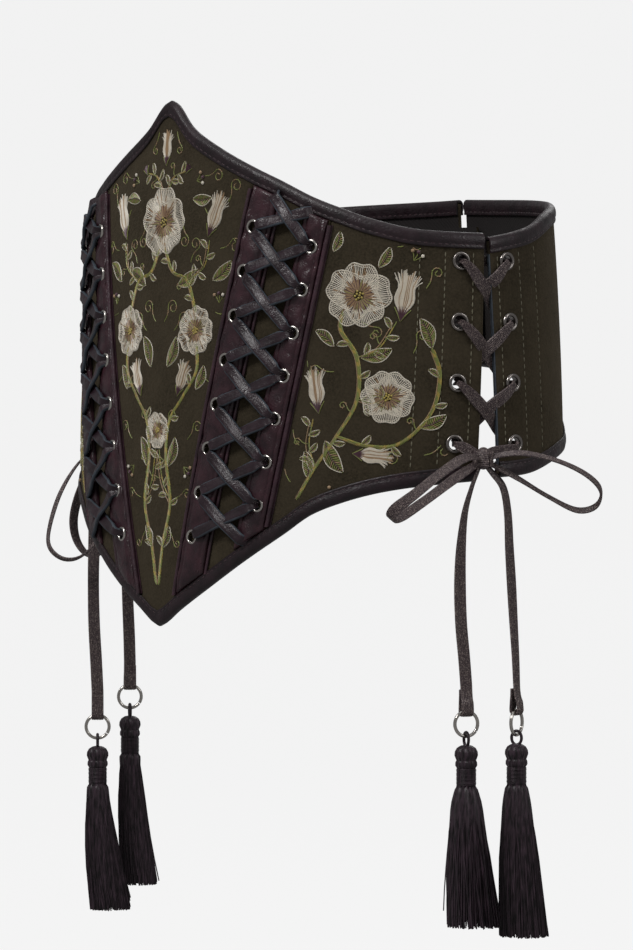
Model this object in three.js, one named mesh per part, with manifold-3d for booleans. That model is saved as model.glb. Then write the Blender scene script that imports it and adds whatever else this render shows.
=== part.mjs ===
// Underbust corset belt of suede and leather, in the form that it has when it is worn.
// Millimetres. +Z is up, the front faces -Y and the wearer's left is +X.
// The origin is the middle of the waist section, where the belt sits on a body.
// Every piece is drawn as a flat pattern (s, z) and wrapped on the body form: s is the distance
// round the waist from the centre front, z is the height, and off is the distance outward.
import * as THREE from 'three';
import { mergeVertices } from 'three/addons/utils/BufferGeometryUtils.js';
import Module from 'manifold-3d';

const wasm = await Module();
wasm.setup();

// Body form
const HALF_WIDTH = 130;
const HALF_DEPTH = 87;
const RIB_SHARE = 0.93; // size of the section at the height of the peak, beside the waist's
const HIP_SHARE = 1.01; // and at the height of the front point

// Heights from the waist
const PEAK_HEIGHT = 106;
const SIDE_TOP = 46;
const SIDE_BOTTOM = -60.5;
const POINT_HEIGHT = -127;
const BACK_SIDE_TOP = 43;
const BACK_TOP = 65;
const BACK_BOTTOM = -11;

// Walls and small sizes
const SHELL = 2.2;
const STRIP_THICKNESS = 2;
const STRIP_LIFT = 0.4; // between the gusset and the strips that are sewn on it
const CLEARANCE = 0.3;
const BINDING_WIDTH = 7;
const BINDING_THICKNESS = 1;
const EDGE_ROOM = 0.8; // from a wall's raw edge to the fold of its binding
const PIPING_RADIUS = 1;

// Widths on the pattern, at the waist, and how far each seam leans outward per mm of height
const CENTRE_HALF = 39.5;
const INNER_STRIP = 15.5;
const LACING_WINDOW = 15;
const OUTER_STRIP = 13.5;
const SIDE_PANEL = 76.5;
const SIDE_GAP = 6.2;
const BACK_GAP = 6;
const V_LEAN = 0.238;
const SIDE_SEAM_LEAN = 0.225;
const GAP_LEAN = 0.06;
const BACK_EDGE_LEAN = -0.02;
const PLACKET_WIDTH = 30;
const PLACKET_THICKNESS = 1.6;
const PLACKET_SHORT = 13; // how far the placket stays below the top edge

// Front lacing
const INNER_EYELETS = 8;
const INNER_DROP = 23; // from the top edge to the first eyelet
const INNER_PITCH = 19.4;
const INNER_SET = 6.4; // from the centre panel's seam
const OUTER_EYELETS = 7;
const OUTER_DROP = 19.9;
const OUTER_PITCH = 18.7;
const OUTER_SET = 6.4; // from the side panel's seam
const STRIP_HOLE = 3.2;
const LEATHER_LACE_WIDTH = 5.2;
const LEATHER_LACE_THICKNESS = 1.5;
const LACE_RISE = 0.9; // room for an eyelet's rim below a lace
const CROSSING_LIFT = 0.45; // how far the upper strand rises at a crossing, and the lower one sinks
const DIP_WIDTH = 0.5; // share of a lace's width that is left where it dips into an eyelet
const RIM_WIDTH = 0.66; // and where it goes over the eyelet's edge
const RIM_LEAN = 0.2; // how much its cut there leans, across for 1 down
const RIM_REACH = 2; // how far from the eyelet's middle the lace is level again

// Side lacing
const SIDE_EYELETS = 4;
const SIDE_DROP = 12; // from the top edge to the first eyelet
const SIDE_PITCH = 26.4;
const FRONT_EYELET_SET = 10.3; // from the front edge of the gap
const BACK_EYELET_SET = 8.8; // from the back edge of the gap
const EYELET_BORE = 2.5;
const EYELET_BARREL = 2.9;
const EYELET_FLANGE = 4.1;
const EYELET_PROUD = 0.9;
const WOVEN_LACE_WIDTH = 5.6;
const WOVEN_LACE_THICKNESS = 1.2;
const SQUEEZE = 0.62; // share of the woven lace's width that is left in an eyelet
const INNER_RUN_WIDTH = 0.9; // and on the run inside, between the two top eyelets
const OVER_EDGE = 0.5; // how far past a panel's edge the lace starts to change its side

// Bow, tails, rings and tassels
const KNOT_OUT = 8.4; // from the form to the middle of the knot
const KNOT_RISE = 8.5; // from the panels' bottom edge
const KNOT_WIDE = 4.2; // half sizes of the knot
const KNOT_DEEP = 4.6;
const KNOT_HIGH = 4.4;
const LEAD_WIDTH = 0.8; // share of the lace's width where it runs into the knot
const LEAD_BULGE = 0.6;
const LOOP_REACH = 50;
const RING_RADIUS = 5.4;
const RING_WIRE = 0.75;
const FOLD_LENGTH = 11; // of the tail's end that is folded round a ring
const FOLD_WIDTH = 0.6; // share of the tail's width that is left in the fold
const TASSEL_LENGTH = 84;
const TASSEL_RADIUS = 10.5;
const TASSEL_LOCKS = 6;
const TASSEL_LOOP = 3; // the wire loop that a tassel hangs by
const TASSEL_WIRE = 0.7;

// Edge lines of the panels. along: share of the way from the centre front to the side gap, or from
// the side gap to the centre back. rise: share of the way from the low level to the high one.
const FRONT_TOP_LINE = [
  { along: 0, rise: 1 },
  { along: 0.03, rise: 0.965 },
  { along: 0.1, rise: 0.8 },
  { along: 0.22, rise: 0.635 },
  { along: 0.34, rise: 0.495 },
  { along: 0.44, rise: 0.385 },
  { along: 0.54, rise: 0.263 },
  { along: 0.64, rise: 0.165 },
  { along: 0.7, rise: 0.11 },
  { along: 0.83, rise: 0.03 },
  { along: 1.05, rise: 0 },
];
const FRONT_BOTTOM_LINE = [
  { along: 0, rise: 1 },
  { along: 0.03, rise: 0.97 },
  { along: 0.08, rise: 0.895 },
  { along: 0.2, rise: 0.73 },
  { along: 0.33, rise: 0.54 },
  { along: 0.45, rise: 0.366 },
  { along: 0.53, rise: 0.24 },
  { along: 0.62, rise: 0.155 },
  { along: 0.72, rise: 0.09 },
  { along: 0.84, rise: 0.045 },
  { along: 1.05, rise: 0 },
];
const BACK_TOP_LINE = [
  { along: -0.05, rise: 0 },
  { along: 0.13, rise: 0.27 },
  { along: 0.27, rise: 0.62 },
  { along: 0.5, rise: 0.86 },
  { along: 1.02, rise: 1 },
];
const BACK_BOTTOM_LINE = [
  { along: -0.05, rise: 0 },
  { along: 0.1, rise: 0.04 },
  { along: 0.24, rise: 0.16 },
  { along: 0.39, rise: 0.27 },
  { along: 0.55, rise: 0.5 },
  { along: 0.7, rise: 0.75 },
  { along: 0.85, rise: 0.93 },
  { along: 1.02, rise: 1 },
];

// Loops of the bows, as shares of their reach from the knot's middle: outward from the body, round
// it toward the back, and upward
const FRONT_LOOP = [
  { out: 0.03, back: -0.03, up: 0.02 },
  { out: 0.14, back: -0.24, up: 0.02 },
  { out: 0.2, back: -0.48, up: -0.1 },
  { out: 0.18, back: -0.72, up: -0.28 },
  { out: 0.1, back: -0.88, up: -0.42 },
  { out: 0.02, back: -0.88, up: -0.5 },
  { out: -0.02, back: -0.76, up: -0.48 },
  { out: 0, back: -0.54, up: -0.34 },
  { out: 0.02, back: -0.28, up: -0.16 },
  { out: 0, back: -0.04, up: -0.02 },
];
const BACK_LOOP = [
  { out: 0.03, back: 0.03, up: 0.02 },
  { out: 0.18, back: 0.26, up: 0.06 },
  { out: 0.3, back: 0.54, up: 0 },
  { out: 0.36, back: 0.8, up: -0.12 },
  { out: 0.34, back: 0.96, up: -0.26 },
  { out: 0.26, back: 0.96, up: -0.4 },
  { out: 0.16, back: 0.82, up: -0.44 },
  { out: 0.08, back: 0.58, up: -0.32 },
  { out: 0.06, back: 0.3, up: -0.16 },
  { out: 0, back: 0.04, up: -0.02 },
];
const FAR_FRONT_LOOP = [
  { out: 0.03, back: -0.03, up: 0.02 },
  { out: 0.16, back: -0.2, up: -0.08 },
  { out: 0.28, back: -0.36, up: -0.38 },
  { out: 0.32, back: -0.48, up: -0.72 },
  { out: 0.26, back: -0.54, up: -0.9 },
  { out: 0.1, back: -0.52, up: -1 },
  { out: -0.06, back: -0.44, up: -0.96 },
  { out: -0.08, back: -0.22, up: -0.76 },
  { out: -0.06, back: -0.08, up: -0.36 },
  { out: -0.02, back: 0, up: 0 },
];
const FAR_BACK_LOOP = [
  { out: 0.03, back: 0.02, up: 0.02 },
  { out: 0.18, back: 0.04, up: -0.1 },
  { out: 0.32, back: 0, up: -0.34 },
  { out: 0.42, back: 0, up: -0.62 },
  { out: 0.42, back: 0.04, up: -0.84 },
  { out: 0.3, back: 0.06, up: -0.98 },
  { out: 0.18, back: 0.08, up: -0.96 },
  { out: 0.12, back: 0.08, up: -0.72 },
  { out: 0.12, back: 0.04, up: -0.36 },
  { out: 0.04, back: 0.01, up: -0.02 },
];
// Routes of the free tails, chosen by hand: outward and toward the back in mm from the knot's middle,
// and the share of the way down to the fold round the ring
const FRONT_TAIL = [
  { out: 0.5, back: -3, down: 0 },
  { out: 1, back: -6, down: 0.07 },
  { out: 0.5, back: -9, down: 0.19 },
  { out: 0, back: -10.5, down: 0.35 },
  { out: 0, back: -11, down: 0.52 },
  { out: 0, back: -10.5, down: 0.7 },
  { out: 0, back: -9, down: 0.87 },
  { out: 0, back: -8, down: 1 },
];
const BACK_TAIL = [
  { out: 0.5, back: 4, down: 0 },
  { out: 1, back: 9, down: 0.07 },
  { out: 0.5, back: 11.5, down: 0.19 },
  { out: 0, back: 12.5, down: 0.35 },
  { out: 0, back: 13.5, down: 0.52 },
  { out: 0, back: 14.5, down: 0.7 },
  { out: 0, back: 15.5, down: 0.87 },
  { out: 0, back: 16, down: 1 },
];
// The two sides: their loops, and for each tail its route, how far the middle of its ring hangs below
// the knot's middle, and how far its foot and ring are turned round the upright, in degrees
const SIDES = [
  {
    name: 'left',
    mirror: false,
    loops: [FRONT_LOOP, BACK_LOOP],
    tails: [
      { end: 'front', route: FRONT_TAIL, drop: 114, turn: 0 },
      { end: 'back', route: BACK_TAIL, drop: 114, turn: 38 },
    ],
  },
  {
    name: 'right',
    mirror: true,
    loops: [FAR_FRONT_LOOP, FAR_BACK_LOOP],
    tails: [
      { end: 'front', route: FRONT_TAIL, drop: 129, turn: 50 },
      { end: 'back', route: BACK_TAIL, drop: 116, turn: 44 },
    ],
  },
];

// Number of steps along the panels and of flat sides of small round shapes
const BACK_COLUMNS = 12;
const FRONT_BINDING_STEPS = 14;
const PIPING_STEPS = 8;
const PIPING_SIDES = 5;
const SOLVER_PASSES = 20;
const EYELET_SIDES = 8;
const STRIP_HOLE_SIDES = 6;
const DRILL_LENGTH = 12;

const MATERIALS = {
  suede: { color: 0x37301f, roughness: 0.95, metalness: 0 },
  leather: { color: 0x2c2027, roughness: 0.45, metalness: 0 },
  piping: { color: 0x5a4656, roughness: 0.5, metalness: 0 },
  leatherLace: { color: 0x33272c, roughness: 0.5, metalness: 0 },
  wovenLace: { color: 0x3a2c2c, roughness: 0.6, metalness: 0 },
  metal: { color: 0x9a9a9c, roughness: 0.3, metalness: 1 },
  yarn: { color: 0x3a3038, roughness: 0.8, metalness: 0 },
};

// A smooth line through the rows of a table, as a function of its first column
function lineThrough(rows, xKey, yKey) {
  const slope = rows.map((row, i) => {
    const a = rows[Math.max(i - 1, 0)];
    const b = rows[Math.min(i + 1, rows.length - 1)];
    return (b[yKey] - a[yKey]) / (b[xKey] - a[xKey]);
  });
  return (x) => {
    let i = 0;
    while (i < rows.length - 2 && x > rows[i + 1][xKey]) i += 1;
    const span = rows[i + 1][xKey] - rows[i][xKey];
    const t = THREE.MathUtils.clamp((x - rows[i][xKey]) / span, 0, 1);
    const rise = rows[i + 1][yKey] - rows[i][yKey];
    const cubic = t * t * (3 - 2 * t) * rise;
    const bend = t * (1 - t) * ((1 - t) * slope[i] - t * slope[i + 1]) * span;
    return rows[i][yKey] + cubic + bend;
  };
}

// Scale of the section at a height: a parabola through the peak, the waist and the front point
const ribSlope = (RIB_SHARE - 1) / PEAK_HEIGHT;
const hipSlope = (HIP_SHARE - 1) / POINT_HEIGHT;
const formCurve = (ribSlope - hipSlope) / (PEAK_HEIGHT - POINT_HEIGHT);
const formLean = ribSlope - formCurve * PEAK_HEIGHT;
const sectionScale = (z) => 1 + formLean * z + formCurve * z * z;

// Distance round the waist at each step of the ellipse's angle, from the centre front to the back
const ARC_STEPS = 720;
const arc = [0];
for (let i = 1; i <= ARC_STEPS; i += 1) {
  const middle = ((i - 0.5) / ARC_STEPS) * Math.PI;
  const speed = Math.hypot(HALF_WIDTH * Math.cos(middle), HALF_DEPTH * Math.sin(middle));
  arc.push(arc[i - 1] + (speed * Math.PI) / ARC_STEPS);
}
const HALF_ROUND = arc[ARC_STEPS];

function angleAt(s) {
  const target = Math.min(Math.abs(s), HALF_ROUND);
  let low = 0;
  let high = ARC_STEPS;
  while (high - low > 1) {
    const middle = (low + high) >> 1;
    if (arc[middle] > target) high = middle;
    else low = middle;
  }
  const share = (target - arc[low]) / (arc[high] - arc[low]);
  return (Math.sign(s) || 1) * ((low + share) / ARC_STEPS) * Math.PI;
}

// Outward, backward (round the body) and upward directions at a place, and the place itself
function frameAt(s) {
  const angle = angleAt(s);
  const across = Math.sin(angle) / HALF_WIDTH;
  const forward = Math.cos(angle) / HALF_DEPTH;
  const out = new THREE.Vector3(across, -forward, 0).normalize();
  return { out, back: new THREE.Vector3(-out.y, out.x, 0), up: new THREE.Vector3(0, 0, 1) };
}

function place(s, z, off) {
  const angle = angleAt(s);
  const scale = sectionScale(z);
  const x = HALF_WIDTH * Math.sin(angle) * scale;
  const y = -HALF_DEPTH * Math.cos(angle) * scale;
  return new THREE.Vector3(x, y, z).addScaledVector(frameAt(s).out, off);
}

// Seams and gap edges of the wearer's left half, as distances round the waist at a height
const centreSeam = (z) => CENTRE_HALF + V_LEAN * z;
const windowStart = (z) => centreSeam(z) + INNER_STRIP;
const windowEnd = (z) => windowStart(z) + LACING_WINDOW;
const SIDE_SEAM = CENTRE_HALF + INNER_STRIP + LACING_WINDOW + OUTER_STRIP;
const sideSeam = (z) => SIDE_SEAM + SIDE_SEAM_LEAN * z;
const FRONT_REACH = SIDE_SEAM + SIDE_PANEL;
const gapFront = (z) => FRONT_REACH + GAP_LEAN * z;
const gapBack = (z) => FRONT_REACH + SIDE_GAP + BACK_EDGE_LEAN * z;
const centreBack = () => HALF_ROUND - BACK_GAP / 2;

const frontTopShare = lineThrough(FRONT_TOP_LINE, 'along', 'rise');
const frontBottomShare = lineThrough(FRONT_BOTTOM_LINE, 'along', 'rise');
const backTopShare = lineThrough(BACK_TOP_LINE, 'along', 'rise');
const backBottomShare = lineThrough(BACK_BOTTOM_LINE, 'along', 'rise');
const alongFront = (s) => Math.abs(s) / FRONT_REACH;
const alongBack = (s) => (s - FRONT_REACH - SIDE_GAP) / (HALF_ROUND - FRONT_REACH - SIDE_GAP);
const mix = THREE.MathUtils.lerp;
const frontTop = (s) => mix(SIDE_TOP, PEAK_HEIGHT, frontTopShare(alongFront(s)));
const frontBottom = (s) => mix(SIDE_BOTTOM, POINT_HEIGHT, frontBottomShare(alongFront(s)));
const backTop = (s) => mix(BACK_SIDE_TOP, BACK_TOP, backTopShare(alongBack(s)));
const backBottom = (s) => mix(SIDE_BOTTOM, BACK_BOTTOM, backBottomShare(alongBack(s)));

const every = (count, make) => Array.from({ length: count }, (_, k) => make(k));
const capOf = (outline) => THREE.ShapeUtils.triangulateShape(outline, []);

// Triangles across a ring that runs up one side of a wall and down the other
function ladder(rows) {
  const count = 2 * (rows + 1);
  return Array.from({ length: rows }, (_, j) => [
    [j, j + 1, count - 2 - j],
    [j, count - 2 - j, count - 1 - j],
  ]).flat();
}

// A closed body through rings of points, with both ends closed by the triangles of a cap
function loft(rings, cap) {
  const count = rings[0].length;
  const positions = rings.flat().flatMap((p) => [p.x, p.y, p.z]);
  const faces = [];
  for (let i = 0; i < rings.length - 1; i += 1) {
    const next = (i + 1) * count;
    for (let j = 0; j < count; j += 1) {
      const k = (j + 1) % count;
      faces.push(i * count + j, next + j, next + k, i * count + j, next + k, i * count + k);
    }
  }
  const end = (rings.length - 1) * count;
  for (const [a, b, c] of cap) faces.push(a, b, c, end + a, end + c, end + b);
  const geometry = new THREE.BufferGeometry();
  geometry.setAttribute('position', new THREE.Float32BufferAttribute(positions, 3));
  geometry.setIndex(faces);
  return outward(geometry);
}

// Turns the faces over if the body's volume comes out negative
function outward(geometry) {
  const p = geometry.attributes.position;
  const index = geometry.index.array;
  const corner = [0, 1, 2].map(() => new THREE.Vector3());
  let volume = 0;
  for (let i = 0; i < index.length; i += 3) {
    corner.forEach((v, k) => v.fromBufferAttribute(p, index[i + k]));
    volume += corner[0].dot(corner[1].clone().cross(corner[2]));
  }
  if (volume < 0) {
    for (let i = 0; i < index.length; i += 3) {
      [index[i + 1], index[i + 2]] = [index[i + 2], index[i + 1]];
    }
  }
  return geometry;
}

function toSolid(geometry) {
  const plain = geometry.clone();
  for (const name of ['normal', 'uv']) plain.deleteAttribute(name);
  const merged = mergeVertices(plain, 1e-4);
  const vertProperties = new Float32Array(merged.attributes.position.array);
  const triVerts = new Uint32Array(merged.index.array);
  return new wasm.Manifold(new wasm.Mesh({ numProp: 3, vertProperties, triVerts }));
}

function toGeometry(solid) {
  const mesh = solid.getMesh();
  const geometry = new THREE.BufferGeometry();
  geometry.setAttribute('position', new THREE.Float32BufferAttribute(mesh.vertProperties, 3));
  geometry.setIndex(Array.from(mesh.triVerts));
  return geometry;
}

const fuse = (geometries) => toGeometry(geometries.map(toSolid).reduce((a, b) => a.add(b)));

function cut(geometry, tools) {
  return toGeometry(tools.map(toSolid).reduce((a, b) => a.subtract(b), toSolid(geometry)));
}

function mirrored(geometry) {
  const copy = geometry.clone();
  copy.scale(-1, 1, 1);
  return outward(copy);
}

// A wall between two seams and two edge lines, wrapped on the form from one offset to another
function panel({ from, to, bottom, top, inner, outer, columns, rows }) {
  const rings = [];
  for (let i = 0; i <= columns; i += 1) {
    const spots = [];
    for (let j = 0; j <= rows; j += 1) {
      let s = from(0);
      let z = 0;
      for (let pass = 0; pass < SOLVER_PASSES; pass += 1) {
        s = mix(from(z), to(z), i / columns);
        z = mix(bottom(s), top(s), j / rows);
      }
      spots.push({ s, z });
    }
    const outside = spots.map(({ s, z }) => place(s, z, outer));
    const inside = spots.map(({ s, z }) => place(s, z, inner)).reverse();
    rings.push([...outside, ...inside]);
  }
  return loft(rings, ladder(rows));
}

function hole(s, z, radius, sides) {
  return standing(new THREE.CylinderGeometry(radius, radius, DRILL_LENGTH, sides), s, z, SHELL);
}

// Turns a body made round +Y so that +Y points outward at a place on the form
function standing(geometry, s, z, off) {
  const { out, back, up } = frameAt(s);
  geometry.applyMatrix4(new THREE.Matrix4().makeBasis(up, out, back));
  const p = place(s, z, off);
  return geometry.translate(p.x, p.y, p.z);
}

const BINDING_END = BINDING_WIDTH + CLEARANCE;

// A folded leather binding over an edge: a channel whose legs lie outside and inside of the shell
function binding({ from, to, edge, down, steps }) {
  const high = SHELL + CLEARANCE;
  const legs = [
    [BINDING_WIDTH, high + BINDING_THICKNESS],
    [0, high],
    [0, -CLEARANCE],
    [BINDING_WIDTH, -CLEARANCE - BINDING_THICKNESS],
    [BINDING_WIDTH, -CLEARANCE],
    [BINDING_THICKNESS, -CLEARANCE],
    [BINDING_THICKNESS, high],
    [BINDING_WIDTH, high],
  ];
  const rings = [];
  for (let i = 0; i <= steps; i += 1) {
    rings.push(legs.map(([depth, off]) => {
      let s = mix(from(0), to(0), i / steps);
      let z = 0;
      for (let pass = 0; pass < SOLVER_PASSES; pass += 1) {
        z = edge(s) + down * depth;
        s = mix(from(z), to(z), i / steps);
      }
      return place(s, z, off);
    }));
  }
  return loft(rings, capOf(legs.map(([depth, off]) => new THREE.Vector2(depth, off))));
}

function piping(seam, bottom, top) {
  const low = solveHeight(seam, bottom) + BINDING_END + 2 * PIPING_RADIUS;
  const high = solveHeight(seam, top) - BINDING_END - 2 * PIPING_RADIUS;
  const level = SHELL + CLEARANCE + PIPING_RADIUS;
  const round = every(PIPING_SIDES, (k) => {
    const turn = ((k + 0.5) / PIPING_SIDES) * 2 * Math.PI;
    return new THREE.Vector2(Math.cos(turn), Math.sin(turn)).multiplyScalar(PIPING_RADIUS);
  });
  const rings = every(PIPING_STEPS + 1, (i) => {
    const z = mix(low, high, i / PIPING_STEPS);
    return round.map((v) => place(seam(z) + v.x, z, level + v.y));
  });
  return loft(rings, capOf(round));
}

// Height where a leaning seam meets an edge line
function solveHeight(seam, edge) {
  let z = 0;
  for (let pass = 0; pass < SOLVER_PASSES; pass += 1) z = edge(seam(z));
  return z;
}

// A flat ribbon through rows of {p, wide, half, thick}: its middle, the direction of its width, its
// half width and its half thickness
function ribbon(rows) {
  const tangentAt = (i) => {
    const before = rows[Math.max(i - 1, 0)].p;
    const after = rows[Math.min(i + 1, rows.length - 1)].p;
    return after.clone().sub(before).normalize();
  };
  const corners = [[1, 1], [-1, 1], [-1, -1], [1, -1]];
  const rings = rows.map((row, i) => {
    const face = tangentAt(i).cross(row.wide).normalize();
    const wide = row.wide.clone().normalize();
    return corners.map(([a, b]) => row.p.clone()
      .addScaledVector(wide, a * row.half)
      .addScaledVector(face, b * row.thick));
  });
  return loft(rings, [[0, 1, 2], [0, 2, 3]]);
}

// A lace on the form, from rows of [s, z, off, share of its width, way]. An upright one is cut along
// vertical lines, and any other one square to its way, which a row may state as [s, z].
function laceOnForm(rows, width, thickness, upright = false) {
  const points = rows.map(([s, z, off]) => place(s, z, off));
  const list = rows.map(([s, , , share, stated], i) => {
    const { out, back, up } = frameAt(s);
    const a = points[Math.max(i - 1, 0)];
    const b = points[Math.min(i + 1, points.length - 1)];
    const way = b.clone().sub(a);
    if (stated) way.copy(back).multiplyScalar(stated[0]).addScaledVector(up, stated[1]);
    way.addScaledVector(out, -way.dot(out));
    const wide = upright ? up.clone() : out.clone().cross(way).normalize();
    return { p: points[i], wide, half: (width / 2) * share, thick: thickness / 2 };
  });
  return ribbon(list);
}

// The eyelets' places on the pattern, from the top down
const innerLine = (z) => centreSeam(z) + INNER_SET;
const outerLine = (z) => sideSeam(z) - OUTER_SET;
const INNER_FIRST = solveHeight(innerLine, frontTop) - INNER_DROP;
const OUTER_FIRST = solveHeight(outerLine, frontTop) - OUTER_DROP;
const SIDE_FIRST = SIDE_TOP - SIDE_DROP;
const spotOn = (line, z) => ({ s: line(z), z });
const innerEyelet = (k) => spotOn(innerLine, INNER_FIRST - INNER_PITCH * k);
const outerEyelet = (k) => spotOn(outerLine, OUTER_FIRST - OUTER_PITCH * k);
const frontSideLine = (z) => gapFront(z) - FRONT_EYELET_SET;
const backSideLine = (z) => gapBack(z) + BACK_EYELET_SET;
const frontSideEyelet = (k) => spotOn(frontSideLine, SIDE_FIRST - SIDE_PITCH * k);
const backSideEyelet = (k) => spotOn(backSideLine, SIDE_FIRST - SIDE_PITCH * k);

// Front panels
const STRIP_LOW = SHELL + STRIP_LIFT;
const STRIP_TOP = STRIP_LOW + STRIP_THICKNESS;
const EDGE_INSET = BINDING_THICKNESS + EDGE_ROOM;
const raised = (edge) => (s) => edge(s) + EDGE_INSET;
const lowered = (edge) => (s) => edge(s) - EDGE_INSET;
const SEAM_HALF = CLEARANCE / 2;
const BESIDE_PIPING = PIPING_RADIUS + CLEARANCE;

function centreFrontPanel() {
  return panel({
    from: (z) => -centreSeam(z) + SEAM_HALF,
    to: (z) => centreSeam(z) - SEAM_HALF,
    bottom: raised(frontBottom),
    top: lowered(frontTop),
    inner: 0,
    outer: SHELL,
    columns: 12,
    rows: 5,
  });
}

function lacingGusset() {
  return panel({
    from: (z) => centreSeam(z) + SEAM_HALF,
    to: (z) => sideSeam(z) - SEAM_HALF,
    bottom: raised(frontBottom),
    top: lowered(frontTop),
    inner: 0,
    outer: SHELL,
    columns: 5,
    rows: 4,
  });
}

function strip(from, to, eyelets) {
  const body = panel({
    from,
    to,
    bottom: (s) => frontBottom(s) + BINDING_END,
    top: (s) => frontTop(s) - BINDING_END,
    inner: STRIP_LOW,
    outer: STRIP_TOP,
    columns: 2,
    rows: 6,
  });
  return cut(body, eyelets.map(({ s, z }) => hole(s, z, STRIP_HOLE, STRIP_HOLE_SIDES)));
}

function innerStrip() {
  return strip((z) => centreSeam(z) + BESIDE_PIPING, windowStart, every(INNER_EYELETS, innerEyelet));
}

function outerStrip() {
  return strip(windowEnd, (z) => sideSeam(z) - BESIDE_PIPING, every(OUTER_EYELETS, outerEyelet));
}

function withSideHoles(body, eyelet) {
  const radius = EYELET_BARREL + CLEARANCE;
  return cut(body, every(SIDE_EYELETS, eyelet).map(({ s, z }) => hole(s, z, radius, EYELET_SIDES)));
}

function sidePanel() {
  const body = panel({
    from: (z) => sideSeam(z) + SEAM_HALF,
    to: gapFront,
    bottom: raised(frontBottom),
    top: lowered(frontTop),
    inner: 0,
    outer: SHELL,
    columns: 8,
    rows: 3,
  });
  return withSideHoles(body, frontSideEyelet);
}

function backPanel() {
  const body = panel({
    from: gapBack,
    to: centreBack,
    bottom: raised(backBottom),
    top: lowered(backTop),
    inner: 0,
    outer: SHELL,
    columns: BACK_COLUMNS,
    rows: 3,
  });
  return withSideHoles(body, backSideEyelet);
}

// The plain closure strip inside the centre back, clear of the bindings' inner legs
function backPlacket() {
  const outer = -CLEARANCE - BINDING_THICKNESS - CLEARANCE;
  const inner = outer - PLACKET_THICKNESS;
  const low = backBottom(HALF_ROUND) + BINDING_THICKNESS;
  const high = backTop(HALF_ROUND) - PLACKET_SHORT;
  const columns = 4;
  const rows = 3;
  const heights = every(rows + 1, (j) => mix(low, high, j / rows));
  const rings = every(columns + 1, (i) => {
    const across = mix(-PLACKET_WIDTH / 2, PLACKET_WIDTH / 2, i / columns);
    const at = (z, off) => {
      const p = place(HALF_ROUND - Math.abs(across), z, off);
      return across > 0 ? p.setX(-p.x) : p;
    };
    return [...heights.map((z) => at(z, outer)), ...heights.map((z) => at(z, inner)).reverse()];
  });
  return loft(rings, ladder(rows));
}

// One strand of the front lacing: a zigzag over the window that dips into an eyelet at each turn.
// Each leg from an inner eyelet lies over the leg of the other strand that it crosses.
function frontStrand(stops) {
  const level = STRIP_TOP + LACE_RISE + LEATHER_LACE_THICKNESS / 2;
  const low = SHELL + 2 * CLEARANCE + LEATHER_LACE_THICKNESS / 2;
  const rows = [];
  stops.forEach((stop, i) => {
    rows.push(stop.tucked ? [stop.s, stop.z, level, 1] : [stop.s, stop.z, low, DIP_WIDTH, [0, -1]]);
    if (i === stops.length - 1) return;
    const next = stops[i + 1];
    const rim = RIM_REACH / Math.hypot(next.s - stop.s, next.z - stop.z);
    const across = Math.sign(next.s - stop.s);
    const steep = [across * RIM_LEAN, -1];
    const at = (share, off, width, way) => {
      rows.push([mix(stop.s, next.s, share), mix(stop.z, next.z, share), off, width, way]);
    };
    if (!stop.tucked) at(rim, level, RIM_WIDTH, steep);
    at(0.5, level + across * CROSSING_LIFT, 1);
    if (!next.tucked) at(1 - rim, level, RIM_WIDTH, steep);
  });
  return laceOnForm(rows, LEATHER_LACE_WIDTH, LEATHER_LACE_THICKNESS);
}

// The eyelets of one strand, in order: inner ones with even numbers and outer ones with odd
// numbers, or the other way round
function zigzag(innerParity) {
  const most = Math.max(INNER_EYELETS, OUTER_EYELETS);
  return every(most, (k) => {
    if (k % 2 === innerParity) return k < INNER_EYELETS ? [innerEyelet(k)] : [];
    return k < OUTER_EYELETS ? [outerEyelet(k)] : [];
  }).flat();
}

function frontLace() {
  const under = (edge, away) => (s) => ({ s, z: edge(s) + away * BINDING_END, tucked: true });
  const topEnd = under(frontTop, -1);
  const bottomEnd = under(frontBottom, 1);
  const onOuterStrip = windowEnd(SIDE_TOP) + OUTER_STRIP / 2;
  return fuse([
    frontStrand([topEnd(onOuterStrip), ...zigzag(0), bottomEnd(windowEnd(SIDE_BOTTOM))]),
    frontStrand([topEnd(windowStart(SIDE_TOP)), ...zigzag(1)]),
  ]);
}

// One strand of the side lacing: out of an eyelet, over its own edge, across the gap, under the
// other edge and out again through the next eyelet down
const WOVEN_HALF = WOVEN_LACE_THICKNESS / 2;
const OVER_LEVEL = SHELL + EYELET_PROUD + 2 * CLEARANCE + WOVEN_HALF;
const EDGE_LEVEL = SHELL + 1.5 * CLEARANCE + WOVEN_HALF;
const UNDER_LEVEL = -2 * CLEARANCE - WOVEN_HALF;

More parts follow.
